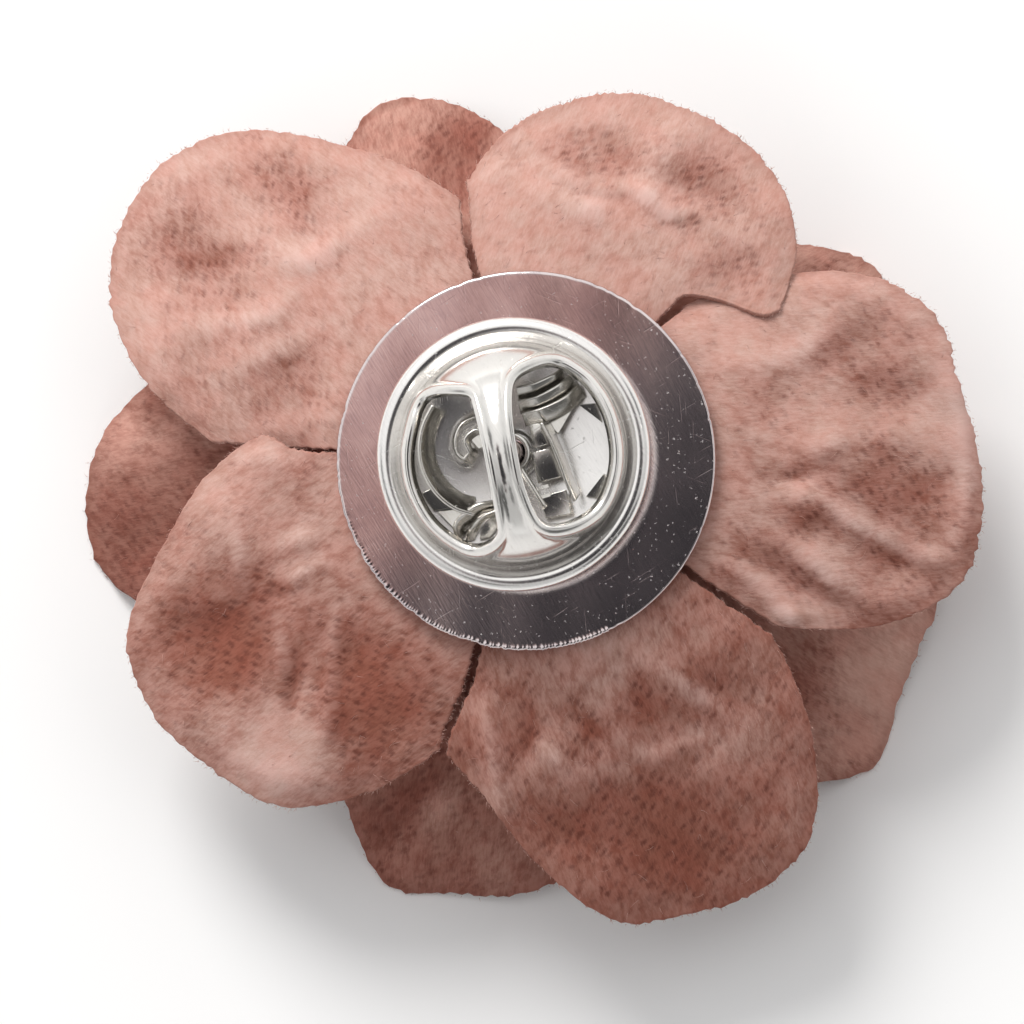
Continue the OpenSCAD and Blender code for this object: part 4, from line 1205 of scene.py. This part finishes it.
# The middle cloth is the outer cloth in darker tones: painted shade for the layer that lies under the outer
# petals.
cloths = {kind: cloth_material(f"{kind} petal cloth", cloth_group, *tones) for kind, tones in {
    "outer": ((0.25, 0.079, 0.052), (0.48, 0.258, 0.205), (0.62, 0.408, 0.362)),
    "middle": ((0.2, 0.064, 0.045), (0.44, 0.222, 0.175), (0.58, 0.34, 0.28)),
    "inner": ((0.33, 0.12, 0.085), (0.47, 0.24, 0.18), (0.58, 0.34, 0.28)),
}.items()}
disc_nickel = metal_material("disc nickel", wear_group, (0.75, 0.67, 0.66), (0.44, 0.39, 0.42), 0.05, 0.2,
                             0.08, 0.8, rosy_reflection=1.0)
clutch_nickel = metal_material("clutch nickel", wear_group, (0.8, 0.78, 0.75), (0.68, 0.66, 0.63), 0.14, 0.15,
                               0.3, 0.3)
# The base's nickel is the dome's nickel painted paler: painted light for its floor in the shade of the dome.
paler_base_nickel = metal_material("clutch base nickel painted paler", wear_group, (0.88, 0.86, 0.84), (0.76, 0.74, 0.72), 0.16,
                             0.3, 0.4, 0.5, satin=0.06)
spring_nickel = metal_material("spring nickel", wear_group, (0.7, 0.68, 0.64), (0.58, 0.55, 0.5), 0.16, 0.3,
                               0.4, 0.3)

for kind, cloth in cloths.items():
    for index in range(len(PETALS[kind])):
        petal, middle = petal_cloth(kind, index)
        petal.data.materials.append(cloth)
        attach(petal, "flower")
        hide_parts(f"{kind}_petal_{index + 1}")

for name, node, shell, material, body, slot_name in (
        ("disc_and_post", "backing_disc", disc(), disc_nickel, "flower", "nickel_disc"),
        ("clutch_rim_and_floor", "clutch_base", clutch_base(), paler_base_nickel, "clutch", "nickel_clutch"),
        ("clutch_dome", "clutch_wings", wings(), clutch_nickel, "clutch", "nickel_clutch"),
        ("clutch_spring", "grip_spring", spring(), spring_nickel, "clutch", "spring_steel")):
    piece = metal_piece(name, shell, material, body)
    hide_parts(node)

centre = button()
centre.data.materials.append(cloths["inner"])
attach(centre, "flower")
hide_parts("centre_button")


# Studio

def floor():
    """Pale paper under the flower, which isn't part of it."""
    bpy.ops.mesh.primitive_plane_add(size=4, location=(0, 0, FLOOR * MM))
    plane = bpy.context.object
    plane.name = "floor"
    material = bpy.data.materials.new("floor paper")
    material.use_nodes = True
    shader = material.node_tree.nodes["Principled BSDF"]
    shader.inputs["Base Color"].default_value = (0.93, 0.93, 0.93, 1)
    shader.inputs["Roughness"].default_value = 0.9
    plane.data.materials.append(material)


def area_light(name, place_m, size, power, colour):
    """A round soft light that points at the flower."""
    data = bpy.data.lights.new(name, "AREA")
    data.shape = "DISK"
    data.size = size
    data.energy = power
    data.color = colour
    lamp = bpy.data.objects.new(name, data)
    bpy.context.scene.collection.objects.link(lamp)
    lamp.location = place_m
    lamp.rotation_euler = (-Vector(place_m)).to_track_quat("-Z", "Y").to_euler()


def studio():
    """A bright tent, brightest to the upper left, with a dark opening that the camera looks through."""
    scene = bpy.context.scene
    scene.view_settings.view_transform = "Standard"
    world = bpy.data.worlds.new("studio")
    scene.world = world
    world.use_nodes = True
    tree = world.node_tree
    background = tree.nodes["Background"]
    heading = add(tree, "ShaderNodeTexCoord").outputs["Generated"]

    def towards(azimuth, tilt):
        """How far a direction lies along one that is tilt degrees off straight up."""
        azimuth, tilt = math.radians(azimuth), math.radians(tilt)
        way = (math.sin(tilt) * math.cos(azimuth), math.sin(tilt) * math.sin(azimuth), math.cos(tilt))
        inputs = {0: heading, 1: way}
        return add(tree, "ShaderNodeVectorMath", inputs, operation="DOT_PRODUCT").outputs["Value"]

    def card(azimuth, tilt, spread, core, shade):
        """How much light a dark round card in the tent leaves; spread and core are its half angles."""
        edge = (math.cos(math.radians(angle)) for angle in (spread, core))
        return ranged(towards(azimuth, tilt), *edge, 1.0, shade)

    key = ranged(towards(108, 55), -0.15, 0.95, 0.6, 1.09)
    opening = card(-46, 15.5, 25, 18.5, 0.05)
    strength = times(key, opening)
    for dark_card in ((-40, 68, 24, 18, 0.2), (28, 60, 12, 9, 0.25), (190, 62, 14, 10.5, 0.3),
                      (250, 50, 12, 9, 0.35)):
        strength = times(strength, card(*dark_card))
    up = add(tree, "ShaderNodeSeparateXYZ", {0: heading}).outputs["Z"]
    low = ranged(up, 0.02, 0.3, 1.0, 0.0)
    strength = plus(times(strength, minus(1.0, low)), times(low, 0.98))
    tint = mixed(ranged(opening, 0.05, 0.25), (0.92, 0.9, 1.0, 1), (1.0, 0.82, 0.8, 1))
    tint = mixed(ranged(opening, 0.5, 1.0), tint, (1, 1, 1, 1))
    tree.links.new(tint, background.inputs["Color"])
    tree.links.new(strength, background.inputs["Strength"])
    area_light("window", (-0.2, 0.5, 0.38), 0.3, 3.4, (1.0, 0.98, 0.96))


def camera():
    """A long lens straight above, leaning a few degrees to the lower right as the photo does."""
    distance = 600.0
    lean = math.radians(5.0)
    heading = math.radians(-30.0)
    pixel = 0.042
    picture = 1024
    centre_px = (525.4, 460.5)
    away = np.array([math.sin(lean) * math.cos(heading), math.sin(lean) * math.sin(heading), math.cos(lean)])
    data = bpy.data.cameras.new("camera")
    data.sensor_width = 36.0
    data.lens = data.sensor_width * distance / (picture * pixel)
    data.shift_x = (picture / 2 - centre_px[0]) / picture
    data.shift_y = (centre_px[1] - picture / 2) / picture
    data.clip_start = 0.01
    data.clip_end = 10
    eye = bpy.data.objects.new("camera", data)
    bpy.context.scene.collection.objects.link(eye)
    eye.location = away * distance * MM
    forward = -away
    right = np.cross(forward, (0, 1, 0))
    right /= np.linalg.norm(right)
    up = np.cross(right, forward)
    rows = zip(right, up, away, eye.location)
    eye.matrix_world = Matrix((*rows, (0, 0, 0, 1)))
    bpy.context.scene.camera = eye


floor()
studio()
camera()
